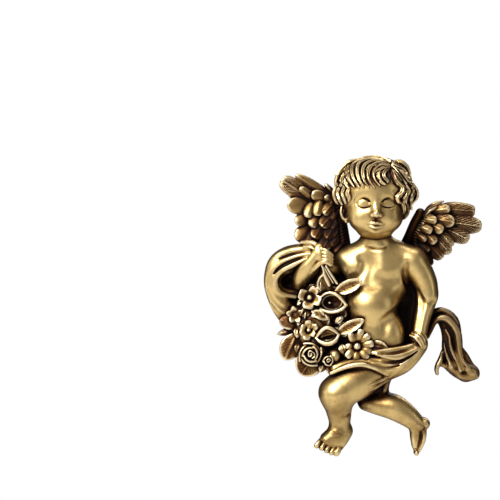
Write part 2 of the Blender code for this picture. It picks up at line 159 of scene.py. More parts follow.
class Clay:
    """A distance field over a box, in which forms are joined and cut."""

    def __init__(self, name, low, high, cell, back=0.0):
        self.name = name
        self.cell = cell * COARSER
        self.low = np.array(low, float)
        counts = [int(math.ceil((b - a) / self.cell)) + 1 for a, b in zip(low, high)]
        self.axes = [(a + self.cell * np.arange(n)).astype(np.float32) for a, n in zip(low, counts)]
        self.field = np.full(counts, FAR, np.float32)
        self.form = None
        self.back = back

    def window(self, low, high):
        """The cells between two corners: their slices, and their coordinates ready to broadcast."""
        slices = []
        for axis, a, b, values in zip(range(3), low, high, self.axes):
            first = int(np.clip(math.floor((a - self.low[axis]) / self.cell), 0, len(values)))
            last = int(np.clip(math.ceil((b - self.low[axis]) / self.cell) + 1, 0, len(values)))
            if last <= first:
                return None, None
            slices.append(slice(first, last))
        x, z, d = (values[s] for values, s in zip(self.axes, slices))
        return tuple(slices), (x[:, None, None], z[None, :, None], d[None, None, :])

    def mix(self, slices, distance, blend, cut=False):
        if cut:
            self.field[slices] = -smooth_min(-self.field[slices], distance, blend)
        else:
            self.field[slices] = smooth_min(self.field[slices], distance, blend)

    def front(self, x, z):
        """The depth of the foremost surface at a place."""
        i = int(np.clip(round((x - self.low[0]) / self.cell), 0, len(self.axes[0]) - 1))
        j = int(np.clip(round((z - self.low[1]) / self.cell), 0, len(self.axes[1]) - 1))
        column = self.field[i, j]
        inside = np.nonzero(column < 0)[0]
        if len(inside) == 0:
            return 0.0
        k = int(inside[-1])
        if k + 1 >= len(column):
            return float(self.axes[2][k])
        share = column[k] / (column[k] - column[k + 1])
        return float(self.axes[2][k] + self.cell * np.clip(share, 0, 1))

    def laid(self, points):
        """Points whose depth is a lift over the foremost surface, turned into true ones."""
        fronts = np.array([self.front(x, z) for x, z, *rest in points])
        places = np.arange(len(points))
        fronts = np.interp(places, places[fronts > 0], fronts[fronts > 0])
        return [(x, z, front + lift, *rest) for (x, z, lift, *rest), front in zip(points, fronts)]

    def blob(self, x, z, depth, w, h, t, turn=0.0, blend=2.0, cut=False, wall=False):
        """An ellipsoid, turned anticlockwise as seen from the front. One on the wall goes back to it."""
        reach = max(w, h, t) + blend + 2
        low = (x - reach, z - reach, -9 if wall else depth - reach)
        slices, places = self.window(low, (x + reach, z + reach, depth + reach))
        if slices is None:
            return
        px, pz, pd = places[0] - x, places[1] - z, places[2] - depth
        if wall:
            pd = np.maximum(pd, 0.0)
        c, s = heading(turn)
        u, v = px * c + pz * s, pz * c - px * s
        self.mix(slices, ellipse_distance((u, v, pd), (w, h, t)), blend, cut)

    def sweep(self, points, blend=1.0, centre=None, strands=0.0, furrow=0.0, cut=False, wall=False,
              step=None, phase=0.0):
        """A form carried along a path of (x, z, depth, half width[, half height]). Its height is along
        the way out: from a centre, or straight out. Furrows run along it, a strand's width apart."""
        rows = [p if len(p) == 5 else (*p, p[3]) for p in points]
        widest = max(max(r[3], r[4]) for r in rows)
        path = smooth_path(rows, step or max(0.8, widest * 0.22))
        path[:, 3:] = np.maximum(path[:, 3:], 0.15)
        margin = blend + 1.5
        size = path[:, 3:].max(axis=1)
        size = np.maximum(size[:-1], size[1:])[:, None] + margin
        low = (np.minimum(path[:-1, :3], path[1:, :3]) - size).min(axis=0)
        high = (np.maximum(path[:-1, :3], path[1:, :3]) + size).max(axis=0)
        if wall:
            low[2] = -9
        slices, _ = self.window(low, high)
        if slices is None:
            return
        shape = tuple(s.stop - s.start for s in slices)
        best = np.full(shape, FAR, np.float32)
        for a, b in zip(path[:-1], path[1:]):
            reach = max(a[3:].max(), b[3:].max()) + margin
            seg_low = np.minimum(a[:3], b[:3]) - reach
            if wall:
                seg_low[2] = -9
            inner, places = self.window(seg_low, np.maximum(a[:3], b[:3]) + reach)
            if inner is None:
                continue
            px, pz, pd = (p - q for p, q in zip(places, a[:3]))
            along = b[:3] - a[:3]
            length = np.linalg.norm(along)
            if length < 1e-6:
                continue
            e = along / length
            if wall:
                flat = along[0] ** 2 + along[1] ** 2 + 1e-9
                t = np.clip((px * along[0] + pz * along[1]) / flat, 0, 1)
                rx, rz = px - t * along[0], pz - t * along[1]
                behind = pd - t * along[2]
                w, h = a[3] + (b[3] - a[3]) * t, a[4] + (b[4] - a[4]) * t
                distance = ellipse_distance((np.sqrt(rx * rx + rz * rz), np.maximum(behind, 0)), (w, h))
            else:
                where = (a[:3] + b[:3]) / 2
                out = unit(where - np.array(centre)) if centre is not None else np.array(OUT)
                out = unit(out - e * out.dot(e))
                side = np.cross(e, out)
                s = px * e[0] + pz * e[1] + pd * e[2]
                t = np.clip(s / length, 0, 1)
                g = s - t * length
                v = px * side[0] + pz * side[1] + pd * side[2]
                f = px * out[0] + pz * out[1] + pd * out[2]
                w, h = a[3] + (b[3] - a[3]) * t, a[4] + (b[4] - a[4]) * t
                if strands:
                    f = f + furrow * (0.5 - 0.5 * np.cos(2 * math.pi * v / strands + phase))
                distance = ellipse_distance((v, f, g), (w, h, np.minimum(w, h)))
            local = tuple(slice(i.start - s.start, i.stop - s.start) for i, s in zip(inner, slices))
            best[local] = np.minimum(best[local], distance)
        self.mix(slices, best, blend, cut)

    def blade(self, root, tip, half_w, half_t, point=0.5, root_point=None, camber=0.0, arch=0.0, rib=0.0,
              rib_w=0.8, barb=0.0, barb_pitch=1.8, barb_slant=1.0, dish=0.0, blend=0.4, wave=0.0):
        """A feather, leaf or petal. Its sides follow (1 - u^2)^point from the middle to the tip, and
        root_point to the root. Camber lowers its edges, arch lifts its middle, and dish hollows it;
        a rib runs along it, and barbs slant away from the rib."""
        root, tip = np.array(root, float), np.array(tip, float)
        half_l = np.linalg.norm(tip - root) / 2
        e = unit(tip - root)
        face = unit(np.array(OUT) - e * e[2])
        side = np.cross(e, face)
        middle = (root + tip) / 2
        reach_w, reach_t = half_w + blend + 1.5, half_t + abs(camber) + abs(arch) + blend + 1.5
        reach = np.abs(e) * (half_l + blend + 1.5) + np.abs(side) * reach_w + np.abs(face) * reach_t
        slices, places = self.window(middle - reach, middle + reach)
        if slices is None:
            return
        px, pz, pd = (p - q for p, q in zip(places, middle))
        length = px * e[0] + pz * e[1] + pd * e[2]
        v = px * side[0] + pz * side[1] + pd * side[2]
        f = px * face[0] + pz * face[1] + pd * face[2]
        u = length / half_l
        room = np.clip(1.0 - u * u, 0.03, 1.0)
        root_point = point if root_point is None else root_point
        w = half_w * np.where(u > 0, room ** (point - 0.5), room ** (root_point - 0.5))
        across = np.clip(v / w, -1.3, 1.3)
        f = f + camber * across * across + arch * np.minimum(u * u, 1.2)
        if rib:
            f = f - rib * np.exp(-(v / rib_w) ** 2) * np.clip(1.2 - u * u, 0, 1)
        if dish:
            f = f + dish * np.clip(1.0 - across * across * 1.3, 0, 1) * np.clip(1.1 - u * u, 0, 1)
        if barb:
            lean = length - barb_slant * np.abs(v)
            stripes = np.cos(2 * math.pi * lean / barb_pitch + 1.4 * np.sin(0.55 * lean + v + wave))
            stripes = stripes * (0.7 + 0.3 * np.sin(0.83 * lean - 0.6 * v + 2 * wave))
            f = f + barb * (0.5 + 0.5 * stripes) * np.clip(np.abs(v) / rib_w - 0.4, 0, 1)
        self.mix(slices, ellipse_distance((length, v, f), (half_l, w, half_t)), blend)

    def sweeps(self, paths, **more):
        for path in paths:
            self.sweep(path, **more)

    def grooves(self, paths, blend):
        """Cuts along paths whose depth is a lift over the foremost surface."""
        for path in paths:
            self.sweep(self.laid(path), blend=blend, cut=True)

    def soften(self, times):
        """Rounds what has been laid so far, by about a cell each time."""
        for _ in range(times):
            for axis in range(3):
                line = np.swapaxes(self.field, 0, axis)
                line[1:-1] = 0.25 * (line[:-2] + line[2:]) + 0.5 * line[1:-1]

    def flat_back(self):
        """Cuts the field off at its back, a hair's breadth from the wall."""
        self.field = np.maximum(self.field, self.back - self.axes[2][None, None, :])

    def part_at(self, outside):
        """Cuts the field off where outside is above zero, and keeps the uncut form to shade it by."""
        self.form = self.field
        self.field = np.maximum(self.field, outside.astype(np.float32))

    def slope(self, points, step=0.8):
        """The way out of the form at each point, read from the field."""
        field = self.field if self.form is None else self.form
        made = []
        for axis in range(3):
            ends = []
            for way in (-step, step):
                spots = (points - self.low) / self.cell
                spots[:, axis] += way
                ends.append(sampled(field, spots))
            made.append(ends[1] - ends[0])
        slope = np.stack(made, axis=1)
        return slope / (np.linalg.norm(slope, axis=1)[:, None] + 1e-9)

    def swell(self, points):
        """How far each point stands out over the form rounded by about a millimetre."""
        kept = self.field
        self.field = np.clip(kept if self.form is None else self.form, -4, 4)
        self.soften(max(2, round((0.8 / self.cell) ** 2 * 2)))
        swell = sampled(self.field, (points - self.low) / self.cell)
        self.field = kept
        return swell

    def surface(self):
        """The zero surface as vertices in millimetres and four-sided faces."""
        field = self.field
        for axis in range(3):
            edge = [slice(None)] * 3
            for end in (0, -1):
                edge[axis] = end
                field[tuple(edge)] = np.maximum(field[tuple(edge)], 0.1)
        inside = field < 0
        corners = [(i, j, k) for i in (0, 1) for j in (0, 1) for k in (0, 1)]
        cells = tuple(n - 1 for n in field.shape)

        def at(corner):
            return tuple(slice(o, o + n) for o, n in zip(corner, cells))

        count = np.zeros(cells, np.int8)
        for corner in corners:
            count += inside[at(corner)]
        active = (count > 0) & (count < 8)
        number = np.full(cells, -1, np.int32)
        number[active] = np.arange(active.sum(), dtype=np.int32)
        where = np.argwhere(active)
        total = np.zeros((len(where), 3), np.float32)
        crossings = np.zeros(len(where), np.float32)
        for a in corners:
            for axis in range(3):
                if a[axis]:
                    continue
                b = tuple(1 if i == axis else n for i, n in enumerate(a))
                fa = field[tuple((where + a).T)]
                fb = field[tuple((where + b).T)]
                hit = (fa < 0) != (fb < 0)
                share = np.where(hit, fa / np.where(hit, fa - fb, 1.0), 0.0)
                place = np.array(a, np.float32)[None, :] + np.zeros((len(where), 1), np.float32)
                place[:, axis] += share
                total[hit] += place[hit]
                crossings += hit
        points = (where + total / crossings[:, None]) * self.cell + self.low
        faces = []
        for axis in range(3):
            i, j = [k for k in range(3) if k != axis]
            low, high, inner = [slice(1, -1)] * 3, [slice(1, -1)] * 3, [slice(None)] * 3
            low[axis], high[axis] = slice(0, -1), slice(1, None)
            changes = inside[tuple(low)] != inside[tuple(high)]
            spots = np.argwhere(changes)
            spots[:, i] += 1
            spots[:, j] += 1
            ring = []
            for di, dj in ((-1, -1), (0, -1), (0, 0), (-1, 0)):
                cell = spots.copy()
                cell[:, i] += di
                cell[:, j] += dj
                ring.append(number[tuple(cell.T)])
            quads = np.stack(ring, axis=1)
            outward = inside[tuple(spots.T)]
            if axis == 1:
                outward = ~outward
            quads[~outward] = quads[~outward][:, ::-1]
            faces.append(quads)
        return points.astype(np.float32), np.concatenate(faces)


def front_leg(c):
    """The leg that strides forward, which the body and the front foot share down to the shin."""
    c.sweep([(14, -70, 14, 15), (-6, -88, 20, 15.5), (-22, -98, 24, 15), (-29.5, -103, 26, 13.4)], blend=5,
            wall=True)
    c.sweep([(-29.5, -104, 25, 13), (-27.8, -114, 21, 11), (-26.8, -123, 19, 9.2), (-26.5, -130, 17.2, 7.8),
             (-26.4, -134, 17, 7.2)], blend=5, wall=True)


def torso(c):
    """The chest, the belly, the hips and the neck."""
    skin = 5.0
    c.blob(5, 3, 12, 24, 18, 15, blend=skin, wall=True)
    c.sweep([(3, 8, 14, 14), (3, 20, 17, 12.4), (3, 33, 19, 12)], blend=8, wall=True)
    c.blob(-13, 1, 18, 12.5, 11.5, 9.5, 20, blend=7)
    c.blob(14, 1, 18, 14, 11.5, 9.5, -12, blend=7)
    c.blob(3, -12, 15, 22, 16, 15, blend=8)
    c.blob(13, -14, 12, 16.5, 17, 12, blend=7)
    c.blob(0, -31, 16, 23, 22, 21, blend=6, wall=True)
    c.blob(6, -55, 15, 20, 20, 17, blend=6, wall=True)
    c.blob(17, -55, 18, 9, 15, 10, 12, blend=6)
    c.blob(-8, -56, 18, 12, 14, 13, blend=6)
    c.sweep([(3, 15, 14, 12), (18, 12, 15, 11), (33, 5, 16, 12)], blend=skin, wall=True)
    c.sweep([(3, 13, 13, 11), (-11, 11, 14, 10), (-21, 7, 13, 9.5)], blend=skin, wall=True)


def low_webs(c):
    """Low fillings on the wall behind the arms, where the photo shows no gap."""
    c.sweep([(27, -8, 1, 9, 3), (30, -25, 1, 11, 3), (27, -45, 1, 12, 3), (31, -60, 1, 9, 3)], blend=1,
            wall=True)
    c.sweep([(-24, 8, 1, 10, 5), (-34, -4, 1, 12, 5), (-50, -10, 1, 12, 5)], blend=1, wall=True)
    c.sweep([(-14, -8, 1, 10, 4), (-26, -12, 1, 10, 4)], blend=1, wall=True)
    c.sweep([(-36, 6, 1, 9, 4), (-50, 5, 1, 9, 4)], blend=1, wall=True)


def arms(c):
    """The arm that hangs to the hip, and the one that holds the garland up."""
    c.sweep([(33, 5, 16, 12), (39.5, -4, 17, 10.6), (44.2, -14, 17, 9.4), (45.4, -23.4, 17, 8.0)], blend=3,
            wall=True)
    c.sweep([(45.6, -22, 17, 8), (44.2, -30, 18, 7.6), (41.2, -41, 20, 6.6), (39.2, -51, 21.4, 6),
             (38.5, -59, 22, 6)], blend=3, wall=True)
    c.sweep([(-20, 6, 8, 9), (-38, -4, 4, 7.5), (-57, -14, 6, 7.5)], blend=4, wall=True)
    c.sweep([(-59, -13, 14, 6.4), (-58, -8, 20, 6.8), (-54.5, -1, 25, 6.4), (-49, 6, 28, 5.6),
             (-45.6, 12, 29.5, 4.8), (-44.4, 16, 29.5, 4.4)], blend=2.5)
    c.sweep([(-55.4, -15.5, 19, 1.6), (-53, -8, 24, 2.2), (-48.6, -0.6, 28, 2.2), (-43, 4.4, 31, 2.0)],
            blend=1.5)


def legs(c):
    """The leg that strides forward, and the one that is bent behind it."""
    front_leg(c)
    c.sweep([(10, -80, 10, 11), (8, -94, 9, 7), (7, -106, 9, 6.5)], blend=3, wall=True)
    c.sweep([(-5, -111.5, 8, 6.5), (5, -112.5, 10, 8.8), (17, -114.5, 12, 10.6), (28, -121, 13, 9.2),
             (37.5, -129, 13, 7)], blend=3, wall=True)


def raised_fist(c):
    """The hand that holds the garland: its palm, four fingers and the thumb."""
    c.blob(-42.8, 10.4, 30.6, 4.4, 7.4, 4.8, 12, blend=2)
    for finger in range(4):
        drop = 2.7 * finger
        c.sweep([(-42, 15.4 - drop, 33, 1.35), (-38.6, 14 - drop, 35.4, 1.4), (-35.4, 11.6 - drop, 35, 1.3),
                 (-33.2, 9.4 - drop, 32.6, 1.1)], blend=0.4)
    c.sweep([(-51, -5, 26, 1.8), (-47.4, -0.4, 30.6, 2.2), (-43, 3.4, 33, 2.1), (-39, 4.4, 35, 1.8),
             (-34.6, 2, 34.6, 1.4)], blend=0.9)


def skin_folds(c):
    """The soft furrows of the skin, each with the width of its blend."""
    creases = [
        ([(-1, 12, 2.8, 2.0), (-2, 4, 2.9, 2.6), (-2.5, -4, 3.1, 2.6), (-2, -12, 3.4, 2.2)], 9),
        ([(-10, 8, 1.0, 0.9), (-7.6, 4, 0.9, 1.3), (-8.4, -2, 0.9, 1.5), (-12, -7, 1.0, 1.4),
          (-17, -9.6, 1.1, 1.1)], 5),
        ([(28, 3, 0.5, 0.9), (26.4, -2, 0.4, 1.2), (27, -9, 0.2, 1.4), (28.4, -14, 0, 1.4)], 4),
        ([(6, -9.5, 3.2, 1.8), (13, -11, 3.1, 2.2), (20, -9.5, 3.0, 1.8)], 8),
        ([(27, -31, 1.0, 1.6), (20, -36.4, 1.2, 2.0), (13.4, -41.4, 1.4, 2.1), (9.4, -47, 1.7, 2.0),
          (8.6, -54, 2.1, 1.6)], 7),
        ([(39, -26, 0.7, 0.7), (44, -29.5, 0.7, 0.9), (50, -28, 0.9, 0.7)], 5),
        ([(37, -20, 0.6, 0.9), (40, -27, 0.7, 1.0), (38.8, -38, 0.9, 0.9), (36.4, -50, 1.0, 0.8)], 4),
        ([(-6, 17, 0.5, 0.7), (-1, 15.2, 0.3, 0.9), (5, 14.8, 0.3, 0.9), (11, 16.4, 0.5, 0.7)], 2),
    ]
    for path, blend in creases:
        c.grooves([path], blend)


def body():
    """The torso, the neck, the arms and the legs."""
    c = Clay("body", (-68, -157.5, -1.4), (60, 34, 42), 0.6)
    torso(c)
    low_webs(c)
    arms(c)
    legs(c)
    c.soften(3)
    raised_fist(c)
    skin_folds(c)
    c.flat_back()
    below, leftward = SHIN_LOW - c.axes[1][None, :, None], FOOT_RIGHT - c.axes[0][:, None, None]
    c.part_at(np.minimum(below, leftward))
    return c


def front_foot():
    """The foot of the leg that strides forward, with its toes."""
    c = Clay("front_foot", (-53, -158, -1.4), (FOOT_RIGHT, -98, 36), 0.4, back=0.2)
    front_leg(c)
    c.soften(6)
    c.blob(-21.4, -134.4, 13, 4.8, 5.2, 6.4, blend=3, wall=True)
    c.sweep([(-26.5, -132, 18, 7.2), (-30.6, -137, 20, 6.9), (-36.8, -141.4, 20.6, 5.8)], blend=4,
            wall=True)
    c.sweep([(-24, -134, 16, 6), (-28, -141, 19, 6), (-31.8, -145, 19.8, 5.0)], blend=4, wall=True)
    c.sweep([(-22.6, -134, 15, 5), (-24.6, -140, 17, 4.8), (-27.8, -146, 18.8, 4.2)], blend=4, wall=True)
    c.soften(3)
    toes = [(-45.4, -145.2, 2.2), (-41.4, -147.2, 2.1), (-37.4, -149.2, 2.1), (-33.4, -150.9, 2.15),
            (-29.2, -151.2, 2.6)]
    for x, z, size in toes:
        c.sweep([(x + 3.2, z + 4.6, 20.6, size * 0.7), (x + 1.6, z + 2.4, 23.2, size * 0.9),
                 (x, z, 24, size), (x - 0.3, z - 0.6, 23, size)], blend=0.9)
    creases = [
        [(-33.4, -134.6, 1.0, 0.7), (-30, -136, 0.8, 0.9), (-26.4, -135.4, 1.0, 0.7)],
        [(-24.4, -121.4, 1.2, 0.5), (-21, -121, 1.1, 0.7), (-18, -119.8, 1.2, 0.5)],
    ]
    c.grooves(creases, 2.2)
    c.flat_back()
    c.part_at(c.axes[1][None, :, None] - SHIN_HIGH)
    return c


def back_foot():
    c = Clay("back_foot", (26, -158, -1.4), (52, -118, 28), 0.38, back=0.2)
    c.sweep([(33.4, -125.6, 12.8, 7.6), (37.2, -129, 12.6, 6.6)], blend=2, wall=True)
    c.blob(43.3, -128.2, 12.6, 4.3, 4.6, 6.2, blend=1.2, wall=True)
    c.sweep([(37.4, -129, 12.4, 6.4), (37.6, -137, 11.4, 5.4), (37.4, -144, 11, 4.2),
             (36.8, -149.4, 10.6, 2.8)], blend=3, wall=True)
    c.sweep([(41.6, -130.6, 14, 2.6), (42.4, -137, 14.4, 2.3), (41.4, -143.4, 13.6, 2.0),
             (38.8, -149.6, 12.4, 1.6)], blend=1.6, wall=True)
    c.sweep([(34.6, -132, 14.6, 3.0), (34.4, -139.6, 14.6, 2.6), (35.2, -146.4, 13.6, 2.1)], blend=1.8,
            wall=True)
    c.soften(2)
    c.blob(36.6, -152.2, 11.6, 2.1, 2.5, 3.4, blend=0.6, wall=True)
    creases = [
        [(38.8, -128, 0.5, 0.8), (39.8, -133, 0.1, 1.1), (39.8, -139, 0.0, 1.2), (38.8, -145, 0.1, 1.0),
         (37.4, -149.6, 0.4, 0.7)],
        [(38.4, -125.4, 0.4, 0.8), (39.2, -129, 0.2, 1.0), (42.6, -132.6, 0.5, 0.7)],
    ]
    c.grooves(creases, 1.6)
    c.flat_back()
    return c


def mirrored(middle, side, path):
    """A path that is given from a middle, on one side of the face."""
    return [(middle[0] + px * side, middle[1] + pz, *rest) for px, pz, *rest in path]


def head():
    """The face, of a calm infant in plain proportions, with the visible ear and the neck."""
    c = Clay("head", (-30, 4, -1.4), (34, 86, 53), 0.45, back=0.15)
    x, z, depth = HEAD
    c.blob(x, z, depth, 28, 27, 23, blend=3, wall=True)
    c.blob(x, z - 15, depth + 1, 21.5, 21, 20, blend=6)
    for side in (-1, 1):
        c.blob(x + 11 * side, z - 20, depth + 9.6, 10, 9.2, 9.8, blend=7)
    c.blob(x, z - 29, depth + 13, 6.0, 4.2, 5.8, blend=5)
    c.blob(x, z - 31.5, depth + 4, 13, 5, 9, blend=4)
    c.blob(x, z + 6, depth + 2, 22, 16, 21, blend=6)
    for side in (-1, 1):
        c.blob(x + 10 * side, z - 8.6, depth + 25, 6.6, 4.0, 4.4, blend=5, cut=True)
    c.sweep([(x, z - 4, depth + 19, 2.6), (x, z - 9, depth + 20.2, 2.8), (x, z - 13.5, depth + 22.2, 2.9),
             (x, z - 16.6, depth + 24.2, 3.1)], blend=4)
    for side in (-1, 1):
        c.blob(x + 3.1 * side, z - 17.6, depth + 22.6, 2.0, 1.7, 2.4, blend=1.8)
        c.blob(x + 1.7 * side, z - 19.4, depth + 24.2, 0.85, 0.6, 1.3, blend=0.7, cut=True)

    for side in (-1, 1):
        eye = (x + 9.8 * side, z - 8.8, depth + 14.8)
        c.blob(*eye[:2], eye[2] - 1.1, 6.2, 4.6, 5.4, blend=3.4)
        fold = [(-5.0, 2.6, 5.0), (-2.4, 4.2, 5.4), (1.0, 4.5, 5.5), (4.2, 3.2, 5.0), (6.2, 1.0, 4.0)]
        fold = [(px, pz, eye[2] + lift, 0.3) for px, pz, lift in fold]
        c.sweep(mirrored(eye, side, fold), blend=2.4, cut=True, step=0.8)
        lashes = [(-5.4, -0.9, 0.1, 0.4), (-2.8, -2.2, -0.1, 0.6), (0.4, -2.7, -0.1, 0.7),
                  (3.4, -2.2, -0.1, 0.6), (6.0, -0.7, 0.1, 0.4)]
        c.sweep(c.laid(mirrored(eye, side, lashes)), blend=0.6, cut=True, step=0.8)

    c.sweep(c.laid([(x, z - 20.2, 0.4, 0.5), (x, z - 22.2, 0.4, 0.6)]), blend=1.6, cut=True)
    upper = [(-6.0, -25.4, -0.4, 0.6), (-3.2, -24.4, 0.2, 1.3), (-1, -23.9, 0.6, 1.3),
             (0, -24.2, 0.6, 1.25), (1, -23.9, 0.6, 1.3), (3.2, -24.4, 0.2, 1.3), (6.0, -25.4, -0.4, 0.6)]
    lower = [(-4.6, -26.5, -0.4, 0.9), (-2, -27.6, 0.2, 1.5), (0, -27.9, 0.3, 1.6), (2, -27.6, 0.2, 1.5),
             (4.6, -26.5, -0.4, 0.9)]
    base = [c.laid(mirrored((x, z), 1, lip)) for lip in (upper, lower)]
    c.sweep(base[0], blend=1.4, step=0.8)
    c.sweep(base[1], blend=1.6, step=0.8)
    parting = [(-6.6, -25.3, 0.3, 0.4), (-3, -25.8, 0.3, 0.45), (0, -26.1, 0.4, 0.5), (3, -25.8, 0.3, 0.45),
               (6.6, -25.3, 0.3, 0.4)]
    c.sweep(c.laid(mirrored((x, z), 1, parting)), blend=0.8, cut=True, step=0.8)
    c.blob(x, z - 29.8, depth + 20.4, 3.6, 0.8, 1.4, blend=2.4, cut=True)
    for side in (-1, 1):
        c.blob(x + 7.4 * side, z - 25.4, depth + 21, 0.8, 1.0, 1.2, blend=2.0, cut=True)

    ear = (x - 24.3, z - 15.5, depth + 1)
    c.blob(*ear, 3.4, 7.2, 4.5, -8, blend=1.0)
    c.blob(ear[0] + 0.4, ear[1] + 0.8, ear[2] + 4.6, 1.7, 4.3, 2.0, -8, blend=0.8, cut=True)
    c.blob(ear[0] + 0.9, ear[1] - 6.3, ear[2] + 2.2, 2.2, 2.3, 2.6, blend=0.8)
    c.sweep([(ear[0] - 0.6, ear[1] + 7.4, ear[2] + 2.8, 1.0),
             (ear[0] - 3.0, ear[1] + 4.4, ear[2] + 3.4, 1.2),
             (ear[0] - 3.4, ear[1] - 0.4, ear[2] + 3.6, 1.2),
             (ear[0] - 1.6, ear[1] - 4.6, ear[2] + 3.8, 1.2),
             (ear[0] + 1.2, ear[1] - 5.2, ear[2] + 4.2, 1.1),
             (ear[0] + 2.2, ear[1] - 2.4, ear[2] + 4.4, 0.9)], blend=0.6)
    c.flat_back()
    return c


def over_head(px, pz):
    """The depth of the cap of hair at a place."""
    x, z, depth = HEAD
    spread = 1 - ((px - x) / 30.5) ** 2 - ((pz - z - 1) / 28.4) ** 2
    return depth - 0.5 + 24 * math.sqrt(max(spread, 0.0))


def lock(c, points, widths, lift=0.6, blend=0.35, phase=0.0):
    """A lock of strands along points over the cap of hair."""
    points = [(px, pz, over_head(px, pz) + lift, w, w * 0.95) for (px, pz), w in zip(points, widths)]
    c.sweep(points, blend=blend, centre=HAIR_MIDDLE, strands=1.9, furrow=0.85, step=1.0, phase=phase)


def hair_cap(c):
    """The close cap under the locks, ringed by strands that run back to the wall."""
    x, z, depth = HEAD
    c.blob(x, z + 1, depth - 0.5, 29.3, 27.6, 24.2, blend=1, wall=True)
    c.blob(x - 1, z - 17, depth + 18, 18.8, 24.6, 24, blend=1.5, cut=True)
    c.blob(x, z - 34, depth, 19, 14, 40, blend=2, cut=True)
    c.blob(29.5, 59, 13, 5.6, 10, 10, blend=1, wall=True)
    strand = ((26, 0.6, 1.8), (19, 2.4, 2.5), (11, 0, 2.6), (4, -2.4, 2.3), (-0.5, -2.4, 1.9))
    for number in range(30):
        way = math.radians(-44 + 268 * number / 29)
        rx, rz = 30.0 * math.cos(way), 25.8 * math.sin(way)
        tangent = (-math.sin(way), math.cos(way))
        path = []
        for depth_now, bend, w in strand:
            path.append((x + rx + tangent[0] * bend, z + 3 + rz + tangent[1] * bend, depth_now, w, w))
        c.sweep(path, blend=0.3, centre=HAIR_MIDDLE, strands=1.7, furrow=0.6, step=1.5, phase=number)


def crown_locks(c):
    """The locks that fan from the whorl over the top, and the fringe and forelock they end in."""
    tops = [
        [(14, 86.4), (8, 88.8), (0, 89.4), (-8, 88.4), (-15, 85.2)],
        [(-14, 88), (-20, 85.6), (-25.5, 81), (-28.8, 75.5)],
        [(-19, 84), (-24.4, 80), (-27.8, 75), (-28.8, 70)],
    ]
    for number, points in enumerate(tops):
        lock(c, points, [1.5, 2.3, 2.5, 2.4, 1.5], lift=0.9, phase=number)
    fringe = [
        [(-8, 88.2), (-16, 85.4), (-22.2, 81), (-24.2, 76.4), (-23.6, 70.4), (-20, 64.6)],
        [(-2, 88.8), (-11, 87.6), (-18.4, 83.8), (-20.6, 79), (-19.8, 72.4), (-16, 65.4)],
        [(4, 88.4), (-7, 88), (-14.8, 84.4), (-17, 79.4), (-16, 72.4), (-12, 65)],
        [(8, 87.8), (-3, 88.4), (-10.8, 84.6), (-13, 78.6), (-12, 71.8), (-8, 65)],
        [(10, 86), (0, 86.8), (-6.8, 83.2), (-9, 77.4), (-7.8, 71), (-3.6, 65)],
        [(11, 84.4), (3, 84.8), (-2.6, 81.6), (-4.8, 76), (-3.6, 70), (0.6, 64.8)],
    ]
    for number, points in enumerate(fringe):
        lock(c, points, [1.0, 1.8, 2.2, 2.3, 2.1, 0.8], lift=1.0 + 0.15 * number, phase=number * 1.3)
    forelock = [
        ([(12, 82.8), (6.4, 82.6), (1.6, 79.8), (0, 75.2), (1.4, 70.4), (4.8, 66.6)], 2.4),
        ([(12.4, 81.6), (8, 80.6), (4.4, 77.6), (3.8, 73.6), (5.8, 69.6), (9, 67.4)], 2.7),
        ([(12.8, 80.6), (9.8, 78.8), (7.8, 75.8), (8.4, 72.6), (11, 70)], 2.0),
    ]
    for number, (points, lift) in enumerate(forelock):
        lock(c, points, [1.4, 2.1, 2.4, 2.2, 1.8, 0.8], lift=lift, phase=number * 2)
    beside = [
        [(12.6, 80), (12, 76.4), (12.8, 72.6), (14.6, 69.4)],
        [(14, 80), (14, 76), (15.4, 72), (18.4, 68.6)],
    ]
    for number, points in enumerate(beside):
        lock(c, points, [1.0, 1.7, 1.7, 1.0], lift=0.5, phase=number)


